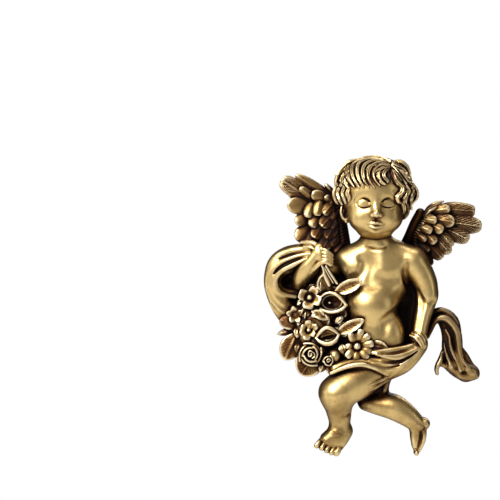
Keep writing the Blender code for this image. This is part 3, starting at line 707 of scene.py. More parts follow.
def side_locks(c):
    """The curls that fall over the right temple, and the locks above the visible ear."""
    right = [
        [(15.6, 78.6), (17, 73), (20, 68.6), (25, 66.2)],
        [(15, 83), (18.4, 77.6), (21.6, 72.6), (26.6, 68.4)],
        [(15.8, 83.6), (21.6, 79), (25.8, 73.8), (30.4, 69)],
        [(16.6, 84.4), (23.8, 80.8), (28.6, 75.8), (31.8, 70)],
        [(16.4, 85.4), (20.6, 84.2), (25.6, 81), (29.8, 75.8)],
        [(17, 86.4), (22.6, 86.4), (27.6, 82.4), (31, 76.6)],
        [(19.4, 69.4), (23.4, 65.2), (22.8, 60.8), (19.4, 57.4), (20.6, 53.4), (23.8, 51.6)],
        [(26.6, 67), (28.6, 62), (26.4, 57.4), (25.8, 53), (28.4, 48.6)],
        [(31.6, 68.6), (33.4, 62.4), (31, 57), (30.8, 52), (32, 47.6)],
        [(33, 68), (35.4, 62.6), (35.4, 57.4), (32.4, 52)],
        [(23, 53.6), (24.6, 49), (23.6, 44.6), (21.4, 41.6)],
        [(27.6, 51), (28.4, 46.4), (26.6, 42.2), (23.4, 38.4)],
        [(21.4, 57.8), (24.8, 57.2), (25.6, 60.4), (23.4, 62)],
    ]
    for number, points in enumerate(right):
        lock(c, points, [1.3, 2.2, 2.3, 1.9, 1.6][:len(points) - 1] + [1.0], lift=1.6, phase=number)
    left = [
        [(-18.5, 79), (-22.8, 76), (-25.4, 71.4), (-25.2, 66.4)],
        [(-19, 75.4), (-21.6, 71.4), (-22.2, 67.4), (-20.4, 63.8)],
        [(-24, 78), (-28.2, 74), (-29.8, 69), (-28.6, 64.4)],
        [(-29.2, 67), (-31, 61.6), (-30.2, 56), (-28, 51.4)],
        [(-26.2, 67), (-28, 61.6), (-27, 56.2), (-25.4, 51.6)],
        [(-23.2, 66), (-24.6, 61), (-23.6, 56.4), (-22.6, 52.4)],
        [(-20.2, 64.6), (-21, 60.4), (-20, 57), (-20, 54)],
    ]
    for number, points in enumerate(left):
        lock(c, points, [1.4, 2.2, 2.0, 1.0], lift=0.7, blend=0.7, phase=number)


def hair_partings(c):
    """The deep gaps between the locks: each path has its half width."""
    gaps = [
        ([(-14, 88), (-20.4, 83.6), (-22.4, 77.6), (-21.8, 71.4), (-18, 65.2)], 0.6),
        ([(-9, 89.4), (-16.6, 85.4), (-18.8, 79.2), (-18, 72.4), (-14.2, 65.6)], 0.65),
        ([(-5, 89), (-12.8, 85.2), (-15, 79), (-14, 72), (-10.2, 65.4)], 0.75),
        ([(-2, 87.6), (-8.8, 84), (-11, 78), (-10, 71.4), (-6, 65.4)], 0.8),
        ([(2, 86), (-4.6, 82.6), (-6.9, 76.8), (-5.7, 70.6), (-1.8, 65.4)], 0.8),
        ([(4.4, 83.2), (-0.2, 80.6), (-2.3, 75.8), (-1, 70.4), (2.8, 66)], 1.2),
        ([(8, 79), (2.6, 77), (1.9, 73), (4.4, 69.6)], 0.5),
        ([(14, 80.6), (13.4, 76.6), (15.6, 71.4), (18.4, 67.2)], 1.0),
        ([(15.6, 81.6), (19.4, 76.2), (23.6, 70.8), (27, 66.8)], 0.7),
        ([(17, 83), (23.4, 78.4), (28, 73), (31.6, 68.4)], 0.7),
        ([(18, 85), (23.6, 82.8), (28.4, 78.4), (31.8, 72)], 0.6),
        ([(25.6, 65), (26, 61), (23.6, 57), (23.4, 52.6)], 0.8),
        ([(30.4, 66), (30.6, 61), (28.4, 56.6), (28.6, 51.6)], 0.8),
        ([(34.6, 65), (34.8, 60), (33.4, 55), (33.4, 50)], 0.7),
        ([(-23.4, 77.4), (-27, 73.6), (-28, 68.6), (-26.8, 64)], 0.6),
        ([(-20.6, 77), (-23.8, 73), (-24, 68), (-22.4, 64)], 0.6),
        ([(-29.4, 62), (-28.8, 57), (-26.8, 52.4)], 0.5),
        ([(-26.2, 61.6), (-25.4, 57), (-24, 52.6)], 0.5),
    ]
    for points, w in gaps:
        shares = (0.15, 0.4, 0.75, 1, 0.7)[5 - len(points):]
        path = []
        for (px, pz), share in zip(points, shares):
            path.append((px, pz, over_head(px, pz) + 2.9, w * share, 1.9))
        c.sweep(path, blend=0.5, centre=HAIR_MIDDLE, cut=True, step=1.0)


def hair():
    """The head of hair: locks that fall from a whorl right of the middle, over a close cap."""
    c = Clay("hair", (-34, 32, -1.4), (42, 95, 54), 0.42, back=0.3)
    hair_cap(c)
    crown_locks(c)
    side_locks(c)
    hair_partings(c)
    c.flat_back()
    return c


def egg(c, x, z, depth, length, w, way, rise=3.4, t=2.0, **more):
    """A covert feather, by its middle, half sizes and the way its tip points."""
    dx, dz = (length * part for part in heading(way))
    settings = dict(point=0.38, root_point=0.6, barb=0.5, barb_pitch=2.1, barb_slant=2.6, camber=0.9,
                    blend=0.2)
    settings.update(more)
    c.blade((x - dx * 1.25, z - dz * 1.25, depth - rise * 0.7), (x + dx, z + dz, depth + rise / 2),
            w * 1.24, t, wave=x, **settings)


def ticks(c, path, way, length, w, spread=0.0):
    """A row of fine barbs along a path, which point the given way and fan out by the spread."""
    points = smooth_path(path, 0.5)
    legs = np.linalg.norm(np.diff(points[:, :2], axis=0), axis=1)
    run = np.concatenate([[0.0], np.cumsum(legs)])
    count = int(run[-1] / (w * 2.1))
    for number in range(count + 1):
        at = run[-1] * number / max(count, 1)
        x, z, depth = (float(np.interp(at, run, points[:, axis])) for axis in range(3))
        dx, dz = (length * part for part in heading(way + spread * (number / max(count, 1) - 0.5)))
        c.sweep([(x, z, depth - 0.6, w * 0.7), (x + dx * 0.5, z + dz * 0.5, depth + 0.8, w),
                 (x + dx, z + dz, depth + 0.8, w * 0.5)], blend=0.25)


def left_wing():
    """The wing at the viewer's left, whose feathers fan out from beside the head."""
    c = Clay("left_wing", (-81, 4, -1.4), (-12, 82, 24), 0.4, back=0.45)
    c.sweep([(-22.6, 18, 5, 5.5), (-26, 38, 6, 5.2), (-31, 57, 6, 4)], blend=1, wall=True)
    c.blob(-42, 44, 3, 17, 18, 7, blend=1, wall=True)
    c.sweep([(-34, 42, 3, 9), (-33, 27, 4, 10), (-30, 15, 4, 9)], blend=1, wall=True)
    c.sweep([(-48, 33, 3, 7.5), (-43, 20, 4, 8.5)], blend=1, wall=True)
    feathers = [
        (-47.5, 65.8, 9, 18.4, 4.2, 146, dict(rise=2, point=0.45, barb=0.5, barb_slant=3.4)),
        (-34, 63.7, 9, 7, 1.9, 134, dict(rise=1, barb=0)),
        (-61.5, 63.6, 10.5, 15.6, 6.6, 147.5, dict(rise=3, point=0.24, barb=0.9, barb_pitch=2.5,
                                                   barb_slant=3.0)),
        (-53.4, 61.0, 12.6, 7.6, 3.1, 144, dict(rise=2.5, barb=0.7)),
        (-57.5, 56.4, 9.5, 12, 3.6, 158, dict(rise=2, barb=0.3)),
        (-61.2, 50.6, 13, 8.8, 5.8, 171, dict(rise=3.5, point=0.45, barb=0.15)),
        (-57.8, 39, 12, 5.8, 4.6, 212, dict(point=0.45, barb=0.1)),
        (-56.8, 27, 12, 7.2, 5.8, 232, dict(point=0.45, barb=0.15)),
        (-49.6, 24.2, 12.4, 7, 4.6, 240, {}),
        (-43.6, 58.2, 13.6, 6.6, 4.2, 156, dict(barb=0.15)),
        (-34.4, 55.4, 13.4, 5.4, 3.1, 152, dict(barb=0.5)),
        (-51.4, 46.4, 14.6, 6.0, 3.9, 252, dict(barb=0.15)),
        (-44.2, 48.2, 15.6, 6.2, 3.9, 258, dict(barb=0.2)),
        (-36.2, 47.8, 15.6, 5.8, 4.2, 226, dict(barb=0.8, barb_pitch=2.2)),
        (-47.2, 37.6, 15, 5.4, 4.3, 240, dict(barb=0.3)),
        (-37.4, 38, 16, 6.4, 4.9, 228, dict(barb=0.9, dish=0.8)),
        (-44.6, 28.8, 15.4, 6.2, 4.6, 240, dict(barb=0.5, dish=0.7)),
        (-34.4, 28.2, 15.6, 5.8, 4.2, 235, dict(barb=0.9, dish=0.9)),
        (-37.4, 20.4, 15.8, 6.4, 5.0, 236, dict(barb=0.9, dish=0.9)),
        (-30.6, 22, 14.6, 5.4, 3.4, 236, dict(barb=0.8, dish=0.6)),
        (-30.4, 42.4, 14.2, 4.4, 2.8, 222, dict(barb=0.6)),
        (-30.4, 34, 14.2, 4.4, 2.8, 225, dict(barb=0.6)),
        (-27.4, 15.5, 13.2, 4.6, 3.0, 232, dict(barb=0.6)),
        (-29.4, 27.4, 13.6, 4.4, 2.6, 228, dict(barb=0.6)),
    ]
    for x, z, depth, length, w, way, more in feathers:
        egg(c, x, z, depth, length, w, way, **more)
    ticks(c, [(-29, 57, 12), (-25.4, 46, 11.8), (-23.4, 36, 11.6), (-22, 26, 11), (-21.4, 19, 10)], 214,
          5.6, 1.1, 16)
    ticks(c, [(-31.6, 57, 13.4), (-29.4, 46, 14), (-27.6, 36, 13.6), (-26.6, 26, 13)], 222, 4.6, 1.0, 16)
    c.flat_back()
    return c


def right_wing():
    """The wing at the viewer's right, whose feathers fan out from the shoulder."""
    c = Clay("right_wing", (20, -2, -1.4), (93, 60, 24), 0.4, back=0.45)
    c.sweep([(28, 16, 4, 5.6), (31.5, 26, 5, 4.4), (35.6, 36, 6, 4.2), (40, 45, 6, 3.7)], blend=1,
            wall=True)
    c.blob(49, 31, 3, 14, 16, 7, -20, blend=1, wall=True)
    c.blob(40, 20, 3, 9, 13, 7, -20, blend=1, wall=True)
    for lift in (0.0, 1.9, 3.8):
        c.sweep([(42.6, 44.4 - lift, 8 + lift, 0.9), (46.6, 49.6 - lift, 10 + lift, 1.2),
                 (52, 52.8 - lift, 11 + lift * 0.6, 1.2), (58.4 - lift, 54.2 - lift, 11, 0.9)], blend=0.3)
    feathers = [
        (70.6, 47.2, 8.6, 14.4, 5.3, -4, dict(rise=2, point=0.24, barb=1.1, barb_slant=3.0, barb_pitch=2.9,
                                              rib_w=0.35)),
        (76.2, 35.4, 10, 14.2, 6.4, -8, dict(rise=3, point=0.34, barb=1.4, barb_slant=2.6, barb_pitch=3.0,
                                             rib_w=0.35)),
        (69.8, 27.4, 10, 11, 5.9, -27, dict(rise=3, point=0.36, barb=1.4, barb_slant=2.2, barb_pitch=2.8,
                                            rib_w=0.35)),
        (60.4, 24.0, 10.6, 9, 4.1, -50, dict(rise=2.6, barb=1.1, barb_pitch=2.4, rib_w=0.35)),
        (58, 18.0, 11, 9.0, 4.6, -47, dict(rise=2.4, barb=1.1, barb_pitch=2.4, rib_w=0.35)),
        (52, 13.2, 11, 8.2, 4.9, -48, dict(rise=2.4, barb=0.8)),
        (45.8, 9.0, 8.6, 8, 3.0, -64, dict(rise=1.6)),
        (56.6, 47.4, 13, 7.4, 3.8, 6, dict(barb=0.8)),
        (60, 38.4, 14, 7.6, 4.7, -9, dict(barb=0.9, barb_pitch=2.6)),
        (48, 39, 15, 5, 3.5, -10, dict(barb=0.7)),
        (53.8, 32.2, 15, 4.8, 4.0, -30, dict(barb=0.7)),
        (44.6, 31.4, 15.4, 4.8, 3.6, -24, dict(barb=0.8)),
        (48.4, 23.4, 14.8, 5.0, 3.9, -44, dict(barb=0.7)),
        (40.8, 24.6, 14.8, 4.4, 3.2, -36, dict(barb=0.6)),
        (43, 16.4, 13.4, 4.8, 3.4, -54, dict(barb=0.7)),
        (37, 17, 12.6, 4.6, 2.8, -50, {}),
    ]
    for x, z, depth, length, w, way, more in feathers:
        egg(c, x, z, depth, length, w, way, **more)
    ticks(c, [(33.0, 17, 11), (34.2, 27, 12.2), (39.4, 36.4, 12.8), (45, 43.4, 12.8)], -24, 5.4, 1.0, 26)
    c.flat_back()
    return c


def sleeve():
    """The cloth gathered in the raised hand and thrown over the forearm."""
    c = Clay("sleeve", (-93, -50, -1.4), (-36, 26, 38), 0.45, back=0.6)
    c.blob(-67, -12, 3, 17, 27, 4, -12, blend=2, wall=True)
    c.sweep([(-48, 17, 22, 3.2), (-58, 15, 18, 4.6), (-70, 11.5, 14, 5.6), (-79, 4, 11, 6.2),
             (-82.4, -8, 10, 6.2), (-80.6, -21, 9, 6.4), (-74, -33, 8, 6.6), (-68, -42, 7, 6)], blend=2,
             wall=True)
    c.sweep([(-47, 15.4, 26, 3.4, 3.4), (-57, 12.4, 22.5, 5.6, 4.2), (-68, 8.6, 18, 7.2, 5),
             (-77, 2.4, 15, 8.4, 5.6), (-81.6, -9, 13.6, 7.2, 6), (-80, -21, 12.6, 7.0, 6),
             (-74, -32, 12, 8.4, 6), (-67, -42, 10, 8.4, 5.5)], blend=1.5)
    ridges = [
        [(-51, 15.4, 28, 1.7), (-59, 15.0, 24.6, 2.2), (-68, 13.4, 20.6, 2.6), (-77, 9.6, 17, 2.4),
         (-83, 3, 14.6, 1.6)],
        [(-50, 11.6, 30, 1.2), (-58.6, 10.2, 27, 1.5), (-67, 7.4, 23.6, 1.9), (-75, 3.4, 20.4, 2.2),
         (-82, -3, 17, 2.4), (-85, -11, 15, 2.4), (-83.6, -20, 14, 2.4), (-79, -28, 13.4, 2.0)],
        [(-51, 8.6, 30, 1.5), (-58, 5.4, 27.6, 1.9), (-66, 1.6, 24.6, 2.3), (-73.6, -2.4, 21.6, 2.5),
         (-78.4, -7.6, 19.4, 2.4), (-79.6, -13, 18.2, 2.3), (-77.6, -18.6, 17.2, 2.2),
         (-72, -22.4, 16.4, 2.2), (-63, -24.2, 15, 2.0)],
        [(-60, 1.4, 18, 2.8), (-67, -1.4, 16, 3.2), (-73.4, -5.6, 14, 3.2), (-76, -11, 12.6, 3.0),
         (-75, -16.6, 11.8, 3.0), (-70, -20.2, 11.4, 3.0), (-62, -20.6, 11, 2.6)],
    ]
    for number, ridge in enumerate(ridges):
        c.sweep(ridge, blend=2.4, wall=number > 1)
    c.sweep([(-58, 20.4, 24, 1.5), (-52.6, 20.4, 27.6, 2.2), (-47.6, 18.8, 30.4, 2.6),
             (-44, 15.4, 31, 2.0)], blend=1.2)
    c.sweep([(-56, 17.2, 27, 1.5), (-50.4, 16.8, 30, 1.9), (-46, 14, 31.6, 1.8)], blend=1.0)
    slits = [
        [(-49, 13.4, 32, 0.7), (-57, 12.9, 28.4, 0.8), (-64.4, 11.2, 25, 0.9), (-72, 8.6, 21.6, 0.9),
         (-80, 4.6, 17.6, 0.8)],
        [(-51, 10, 32.4, 0.7), (-60, 7.6, 28.6, 1.1), (-69.2, 3.8, 24.6, 1.5), (-76, -0.6, 21.6, 1.4),
         (-79.8, -4.6, 19.4, 0.9)],
        [(-80.6, -5.4, 18.6, 0.7), (-82.4, -10.4, 17.4, 0.9), (-82, -16, 16.6, 0.9),
         (-78.6, -22, 15.8, 0.9), (-72, -26, 15, 0.8)],
        [(-60, 1.4, 25.6, 0.7), (-66.6, -1.8, 22.4, 0.9), (-72, -5.4, 20, 1.0)],
        [(-57, 18.6, 28, 0.6), (-51.6, 18.6, 31.4, 0.7), (-47, 16.2, 33.2, 0.6)],
    ]
    for slit in slits:
        c.sweep([(px, pz, depth, w * 0.75) for px, pz, depth, w in slit], blend=1.6, cut=True)
    c.blob(-69.4, -11.2, 22, 4.4, 5.0, 17.4, -24, blend=2.5, cut=True)
    soft = [
        [(-85.6, -18, 0.9, 1.0), (-81, -27, 0.9, 1.2), (-74, -33, 0.9, 1.2), (-66, -36, 0.8, 1.0)],
        [(-83, -31, 0.8, 0.8), (-77, -38, 0.8, 0.9), (-70, -42, 0.8, 0.8)],
    ]
    c.grooves(soft, 2.4)
    c.flat_back()
    return c


def hip_cloth():
    """The cloth drawn tight round the hips, and the lower fist that bunches it."""
    c = Clay("hip_cloth", (-42, -111, -1.4), (50, -48, 44), 0.45, back=0.6)
    c.blob(8, -74, 18, 23, 12, 12, 12, blend=2, wall=True)
    c.sweep([(38, -64, 20, 4), (29, -71, 22, 8), (20, -77, 24, 10), (9, -79.5, 27, 9), (-4, -79, 30, 6.2),
             (-18, -79, 31, 4.8), (-31, -82, 30, 3.8)], blend=2, wall=True)
    c.sweep([(41, -66, 21, 3.6), (34, -72.5, 23, 5.4), (26, -79.5, 25, 6.2), (18, -85.5, 25, 4.6),
             (13, -89.5, 23, 3)], blend=3, wall=True)
    c.sweep([(12, -88.5, 21, 2.4), (11, -95, 17.4, 2.8), (10, -101, 14.6, 2.5), (8.6, -107.4, 12.4, 1.8)],
            blend=1.5, wall=True)
    c.soften(2)
    folds = [
        [(36, -62.5, 25, 2.2), (28, -65.6, 27.6, 2.8), (18, -67.4, 30.4, 2.8), (8, -68.4, 33, 2.4),
         (0, -69.4, 34, 1.8)],
        [(37, -66, 27, 2.0), (28, -70.2, 30, 2.6), (19, -72.6, 32, 2.8), (10, -72, 34.4, 2.2),
         (3, -70.6, 35.4, 1.4)],
        [(40, -66, 25, 2.2), (33, -71.6, 28, 3.0), (26, -77.4, 30.4, 3.2), (20, -82.4, 30.4, 2.6),
         (14.4, -87.6, 27.6, 1.6)],
        [(-34, -86, 33, 1.6), (-22, -80.8, 36.4, 2.0), (-12, -78.9, 37.6, 2.1), (-3, -80, 37, 2.1),
         (5, -83.2, 34.6, 2.0), (11.6, -87, 30.6, 1.6)],
        [(13, -88.4, 26, 2.0), (3, -92.8, 30.2, 2.3), (-7, -96.2, 33.2, 1.9), (-13, -99, 34, 1.0)],
        [(12, -91.6, 23, 1.8), (3, -96.8, 27.4, 1.9), (-4, -100.6, 29.8, 1.0)],
    ]
    c.sweeps(folds, blend=2.2)
    slits = [
        [(33, -64.6, 29.6, 0.6), (25, -67.6, 32, 0.9), (16, -69.6, 34.4, 0.9), (8, -70, 36.4, 0.6)],
        [(36, -68.4, 28.6, 0.5), (29.6, -73, 31, 0.9), (22, -76.6, 33, 1.2), (13, -77, 35, 1.3),
         (5, -75.2, 37, 1.0)],
        [(20.6, -79.8, 33.4, 0.6), (13, -81.4, 35, 1.0), (5, -79.6, 37.4, 1.0), (-4, -77, 38.6, 0.8)],
        [(-10, -83.4, 38, 0.5), (-22, -84.6, 37.4, 0.8), (-33, -88.6, 34, 0.6)],
    ]
    c.sweeps(slits, blend=1.8, cut=True)
    c.blob(0, -74.6, 38.6, 8.6, 2.4, 4.6, -8, blend=2, cut=True)

    c.blob(37.4, -57.4, 21.6, 7.2, 6.6, 6.6, -35, blend=1.2)
    c.blob(40.6, -62.4, 21.6, 4.6, 5.4, 6.2, 25, blend=1.2)
    for finger in range(4):
        shift, back = 1.75 * finger, 0.5 * finger * finger
        c.sweep([(30.8 + shift, -55.6 + shift * 0.9, 25.4 - back, 1.2),
                 (34.2 + shift, -57.0 + shift * 0.9, 28.6 - back, 1.4),
                 (37.6 + shift, -60.4 + shift * 0.8, 29.4 - back, 1.35),
                 (40 + shift * 0.8, -65 + shift * 0.7, 27 - back, 1.15)], blend=0.45)
    c.flat_back()
    return c


def tail_cloth():
    """The end of the cloth, which flies up behind the elbow and hangs in flutes to a flared hem."""
    c = Clay("tail_cloth", (38, -97, -1.4), (93, -29, 22), 0.45, back=0.6)
    base = [(42, -53, 4, 3.4, 4), (48.6, -43, 4, 5.6, 5), (57, -39.6, 4, 6.6, 5), (63.6, -45.6, 4, 8.4, 5),
            (66, -56, 4, 8.2, 5), (66.6, -68, 4, 8.8, 5), (70.6, -78, 4, 11, 5), (77.6, -86, 4, 8.6, 5)]
    c.sweep(base, blend=1.5, wall=True)
    c.blob(82, -86, 4, 7.4, 6.2, 8.4, -34, blend=2, wall=True)
    c.blob(66, -80.6, 4, 5.6, 5.0, 7.6, 20, blend=2, wall=True)
    folds = [
        [(45.6, -57, 11, 1.7), (47.6, -51.6, 12, 2.3), (51, -44.6, 13, 2.7), (56.4, -41.4, 13.4, 3.0),
         (61.6, -42.6, 13.4, 3.3), (66.4, -47.4, 13, 3.5), (69.8, -53.6, 13, 3.5), (71, -61, 12.6, 3.3),
         (71.8, -69, 12, 3.0), (74, -76.4, 11.6, 2.9), (78.4, -82.6, 11, 3.4)],
        [(50, -36.4, 9.4, 2.4), (57.6, -35.4, 9.6, 2.6), (64.6, -39.6, 9.6, 2.4), (69.4, -45.8, 9.4, 2.0)],
        [(60.6, -51.4, 10.6, 1.1), (63.4, -57, 11.4, 1.5), (64.2, -63.6, 11.6, 1.7),
         (66.6, -70.6, 11.4, 1.7), (70, -77.4, 11, 1.8), (72.6, -84, 10, 2.4)],
        [(58.8, -62, 9.4, 1.1), (60, -69, 10, 1.5), (62.4, -75.4, 10, 1.7), (65, -81, 9.6, 2.8)],
    ]
    c.sweeps(folds, blend=2.4)
    c.sweep([(58.4, -70, 8, 1.6), (56.8, -75.6, 10, 2.1), (54.6, -79.6, 11, 1.9), (53.2, -84, 11, 1.6),
             (53.8, -87.6, 10.4, 1.2)], blend=1.2, wall=True)
    c.sweep([(57, -79.4, 9, 2.0), (62, -81.6, 8, 2.2), (67.6, -84.6, 7.6, 2.4), (73, -89, 7.6, 2.6),
             (80, -90.6, 7.6, 2.2), (86, -89.4, 7.6, 2.2)], blend=1.6, wall=True)
    cuts = [
        [(54.6, -45, 14, 0.8), (59.6, -46.2, 14, 1.4), (63.4, -50.2, 14, 1.5), (66, -55.6, 14.2, 1.2),
         (67, -62, 14.2, 0.9), (68.4, -69, 13.8, 1.0), (71.6, -76, 13.6, 1.0), (75.6, -81.6, 12.8, 0.9)],
        [(57.2, -53, 10, 1.0), (60.4, -58, 11.6, 1.3), (61.2, -65, 12.2, 1.3), (63.6, -72, 12.4, 1.1),
         (66.6, -78.4, 12, 0.9), (69.4, -84.6, 11.4, 0.8)],
        [(57.6, -60, 8.4, 1.0), (58, -67, 9.4, 1.2), (59.4, -74, 10.4, 1.2), (61, -79, 10.6, 0.8)],
        [(48.6, -38.6, 13.4, 0.9), (56, -37.6, 13, 0.9), (62.6, -39.4, 12.6, 0.9), (68.6, -45.6, 12, 0.8),
         (73, -52.6, 11.6, 0.7)],
        [(75, -74.4, 11, 0.7), (78.4, -78.4, 11.6, 0.9), (82.6, -80.6, 10.6, 0.7)],
    ]
    for cut in cuts:
        c.sweep([(px, pz, depth + 0.8, w * 0.6) for px, pz, depth, w in cut], blend=2.6, cut=True)
    c.flat_back()
    return c


def leaf(c, root, tip, w, t=1.6, **more):
    """A leaf by its root and its tip, plain unless more says otherwise."""
    settings = dict(point=0.8, camber=-1.2, rib=0.45, rib_w=0.6, barb=0.15, barb_pitch=3.0, blend=0.3,
                    arch=1.0)
    settings.update(more)
    c.blade(root, tip, w, t, **settings)


def walls(c, middle, radius, count, span, first, depth, w, tall):
    """A ring of rose petals round a middle, each a low wall that starts inside the last one."""
    for number in range(count):
        path = []
        for share in np.linspace(0, 1, 9):
            way = math.radians(first + number * 360 / count + span * share)
            flat = math.cos(0.85) / math.cos(0.85 * (2 * share - 1))
            bow = radius * (0.88 + 0.17 * share) * (0.70 + 0.30 * flat)
            lift = 1.2 * math.sin(math.pi * share) - 1.8 * (1 - share) ** 2
            path.append((middle[0] + bow * math.cos(way), middle[1] + bow * math.sin(way), depth + lift, w,
                         tall))
        c.sweep(path, blend=0.2, step=0.7)


def petals(c, middle, places, t=1.9, **more):
    """Petals round a middle, each with its way, its reach, its half width and the depth of its tip."""
    x, z, depth = middle
    for way, reach, w, tip in places:
        dx, dz = heading(way)
        c.blade((x + dx, z + dz, depth), (x + dx * reach, z + dz * reach, tip), w, t, **more)


def garland_ground(c):
    """The mass that the flowers grow from, covered in small leaves that are laid out in a spiral."""
    c.sweep([(-38, -6, 6, 8), (-43, -25, 8, 14), (-47, -48, 8, 19), (-44, -66, 9, 13)], blend=2, wall=True)
    c.sweep([(-22, -30, 6, 10), (-20, -52, 8, 11), (-16, -66, 10, 9)], blend=2, wall=True)
    c.blob(-60, -44, 10, 9, 12, 8, blend=1, wall=True)
    for number in range(30):
        way = 2.4 * number
        radius = 3.5 + 2.8 * math.sqrt(number * 2.4)
        bx, bz = -41 + radius * 0.85 * math.cos(way), -44 + radius * 1.15 * math.sin(way)
        turn = math.degrees(way) + 70
        dx, dz = (4.8 * part for part in heading(turn))
        base = c.front(bx, bz)
        if base > 6:
            leaf(c, (bx - dx, bz - dz, base - 0.6), (bx + dx, bz + dz, base + 2.6), 3.0, 1.2)


def held_stems(c):
    """The stems below the fist, and the leaf that hangs from them."""
    stems = [
        [(-41.6, 2, 33, 1.0), (-40, -4.6, 33.4, 1.0), (-43.4, -8.6, 32, 0.9), (-45, -14, 31, 0.9),
         (-42.6, -18.4, 30.5, 0.8)],
        [(-40, -4.6, 33.4, 1.2), (-38, -9.4, 33, 1.6), (-35.8, -14.4, 31.6, 1.3)],
        [(-38.2, 1, 34.6, 0.9), (-34, -6, 34.6, 1.0), (-29.4, -13, 32.6, 0.9)],
        [(-39.6, 0, 33, 0.8), (-36, -6.6, 33, 0.8), (-32.6, -12.4, 31, 0.8)],
    ]
    c.sweeps(stems, blend=0.3)
    leaf(c, (-43, -8.6, 28), (-42.4, -19, 30), 2.4, camber=1.0)


def large_leaves(c):
    """The leaves that frame the garland, and the ones between its flowers."""
    leaf(c, (-31.5, -20.6, 30), (-9, -10.6, 36.5), 5.5, 1.8, rib=0, dish=1.9, point=0.62, barb=0.2)
    leaf(c, (-30, -54, 30), (-7.6, -42.4, 36.5), 4.9, 1.8, rib=0, dish=1.7, point=0.66, barb=0.2)
    leaf(c, (-3.4, -63, 31), (12.4, -66.4, 33), 5.4, 1.7, rib=0.4, dish=1.7, point=0.85)
    leaf(c, (-61.6, -54, 19), (-72.0, -76.0, 18), 9.0, 2.4, rib=0.8, rib_w=1.4, camber=0.4, point=0.62,
         dish=0.9)
    leaf(c, (-62, -48, 18.5), (-76.0, -42.6, 17), 5.6, 2.4, rib=0.3, camber=0.4, point=0.45, dish=0.9)
    leaf(c, (-60, -50, 12), (-78.4, -55.2, 9.5), 3.3, 1.8, rib=0.3, camber=0.4, point=0.9)
    leaf(c, (-46, -69, 19), (-58.4, -88.6, 17), 11.4, 2.4, rib=0.5, camber=-0.8, point=0.66, dish=1.3)
    leaf(c, (-33, -76, 24), (-35, -88, 23), 4.6, 1.8, rib=0.5, camber=0.8, dish=0.6)
    leaf(c, (-39, -77, 24), (-43, -86, 22.5), 3.2, 1.8, camber=0.8, dish=0.5)
    leaf(c, (-50.6, -35, 27.6), (-35.8, -42.6, 30), 3.6, 1.4, rib=0, dish=1.5, barb=0)
    leaf(c, (-43.4, -32, 28), (-40, -39.4, 31), 1.5, 1.2, rib=0, barb=0)
    leaf(c, (-25, -57, 26), (-20.5, -49, 30), 3.0, 1.5)
    leaf(c, (-26, -62, 27), (-23.5, -71, 29.5), 3.2, 1.5)
    leaf(c, (-27, -41, 26), (-21, -35, 27), 3.0, 1.4)
    leaf(c, (-31, -46, 28), (-24, -39.5, 29), 2.6, 1.4)
    leaf(c, (-59.4, -62, 19), (-62, -70, 20), 3.2, 1.5)


def four_petalled_flower(c):
    """The broad flower at the top left."""
    c.blob(-51.6, -24.6, 21, 6.6, 7.2, 6.5, blend=0.5)
    places = [(159, 8.6, 4.6, 31.6), (57, 9.0, 3.9, 31.6), (-22, 9.2, 4.4, 31.6), (-100, 8.8, 4.6, 31.6)]
    petals(c, (-51.7, -24.4, 25.4), places, point=0.16, root_point=0.95, dish=1.5, arch=0.6, blend=0.2)
    c.blob(-51.7, -24.4, 29.2, 2.0, 2.0, 2.4, blend=0.3)


def upper_bud(c):
    """The wide open bud under the fist, with two lips and a stamen."""
    c.blob(-33, -28.4, 22, 9.6, 7.6, 9.5, blend=0.6)
    c.blob(-33.6, -28.6, 31, 9.0, 6.2, 8.5, blend=0.6, cut=True)
    c.sweep([(-42.4, -24, 28.5, 1.1, 2.2), (-38.4, -21.2, 30, 1.2, 2.4), (-34, -20.6, 31.2, 1.4, 2.4),
             (-29, -22.8, 32.2, 1.5, 2.4), (-25.2, -26.6, 33, 1.4, 2.2), (-22.2, -30.4, 34, 1.4, 2.0)],
             blend=0.4)
    c.sweep([(-22.2, -30.6, 34, 1.5, 2.0), (-25.6, -34, 32.6, 1.7, 2.2), (-31, -36, 31.2, 1.7, 2.4),
             (-37, -36, 30, 1.5, 2.4), (-41.4, -34.4, 29, 1.1, 2.2)], blend=0.4)
    c.blob(-35.2, -29, 25, 1.5, 1.5, 3.4, blend=0.3)


def lower_bud(c):
    """The almond-shaped bud in the middle of the garland."""
    c.blob(-36.6, -56, 22, 9.2, 6.8, 9, 4, blend=0.6)
    c.blob(-36.8, -55.2, 33, 7.8, 4.6, 6, 4, blend=0.8, cut=True)
    upper = [(-46.2, -57.4, 28.6, 1.1, 1.8), (-43, -52.8, 30.6, 1.6, 2.2), (-38.4, -49.2, 31.6, 1.8, 2.2),
             (-33.4, -50.4, 31.6, 1.7, 2.2), (-28.4, -54.2, 30.4, 1.1, 1.8)]
    lower = [(-46.4, -57.6, 28.6, 1.2, 2.0), (-42.6, -60.8, 30.6, 1.8, 2.4), (-36.8, -62.2, 31.6, 2.0, 2.4),
             (-31, -59.8, 31.4, 1.8, 2.2), (-27.8, -54.8, 30.2, 1.2, 1.8)]
    c.sweeps([upper, lower], blend=0.5)
    c.blob(-36.6, -57.2, 29, 5.6, 1.5, 4, 14, blend=0.8, cut=True)


def star_flower(c):
    """The dark small flower at the left, and the two seeds beside it."""
    c.blob(-62.4, -39.4, 18, 6.4, 6.8, 8, blend=0.5)
    places = [(way, 7.2, 2.6, 27) for way in (104, 168, 236, 300, 20)]
    petals(c, (-63.4, -38.6, 24), places, 1.6, point=0.9, dish=0.8, blend=0.3)
    for px, pz, w, h, turn in ((-57.6, -35.6, 0.9, 3.0, -24), (-55.2, -38.8, 0.9, 3.4, -8)):
        c.blob(px, pz, 26.4, w, h, 2.2, turn, blend=0.4)


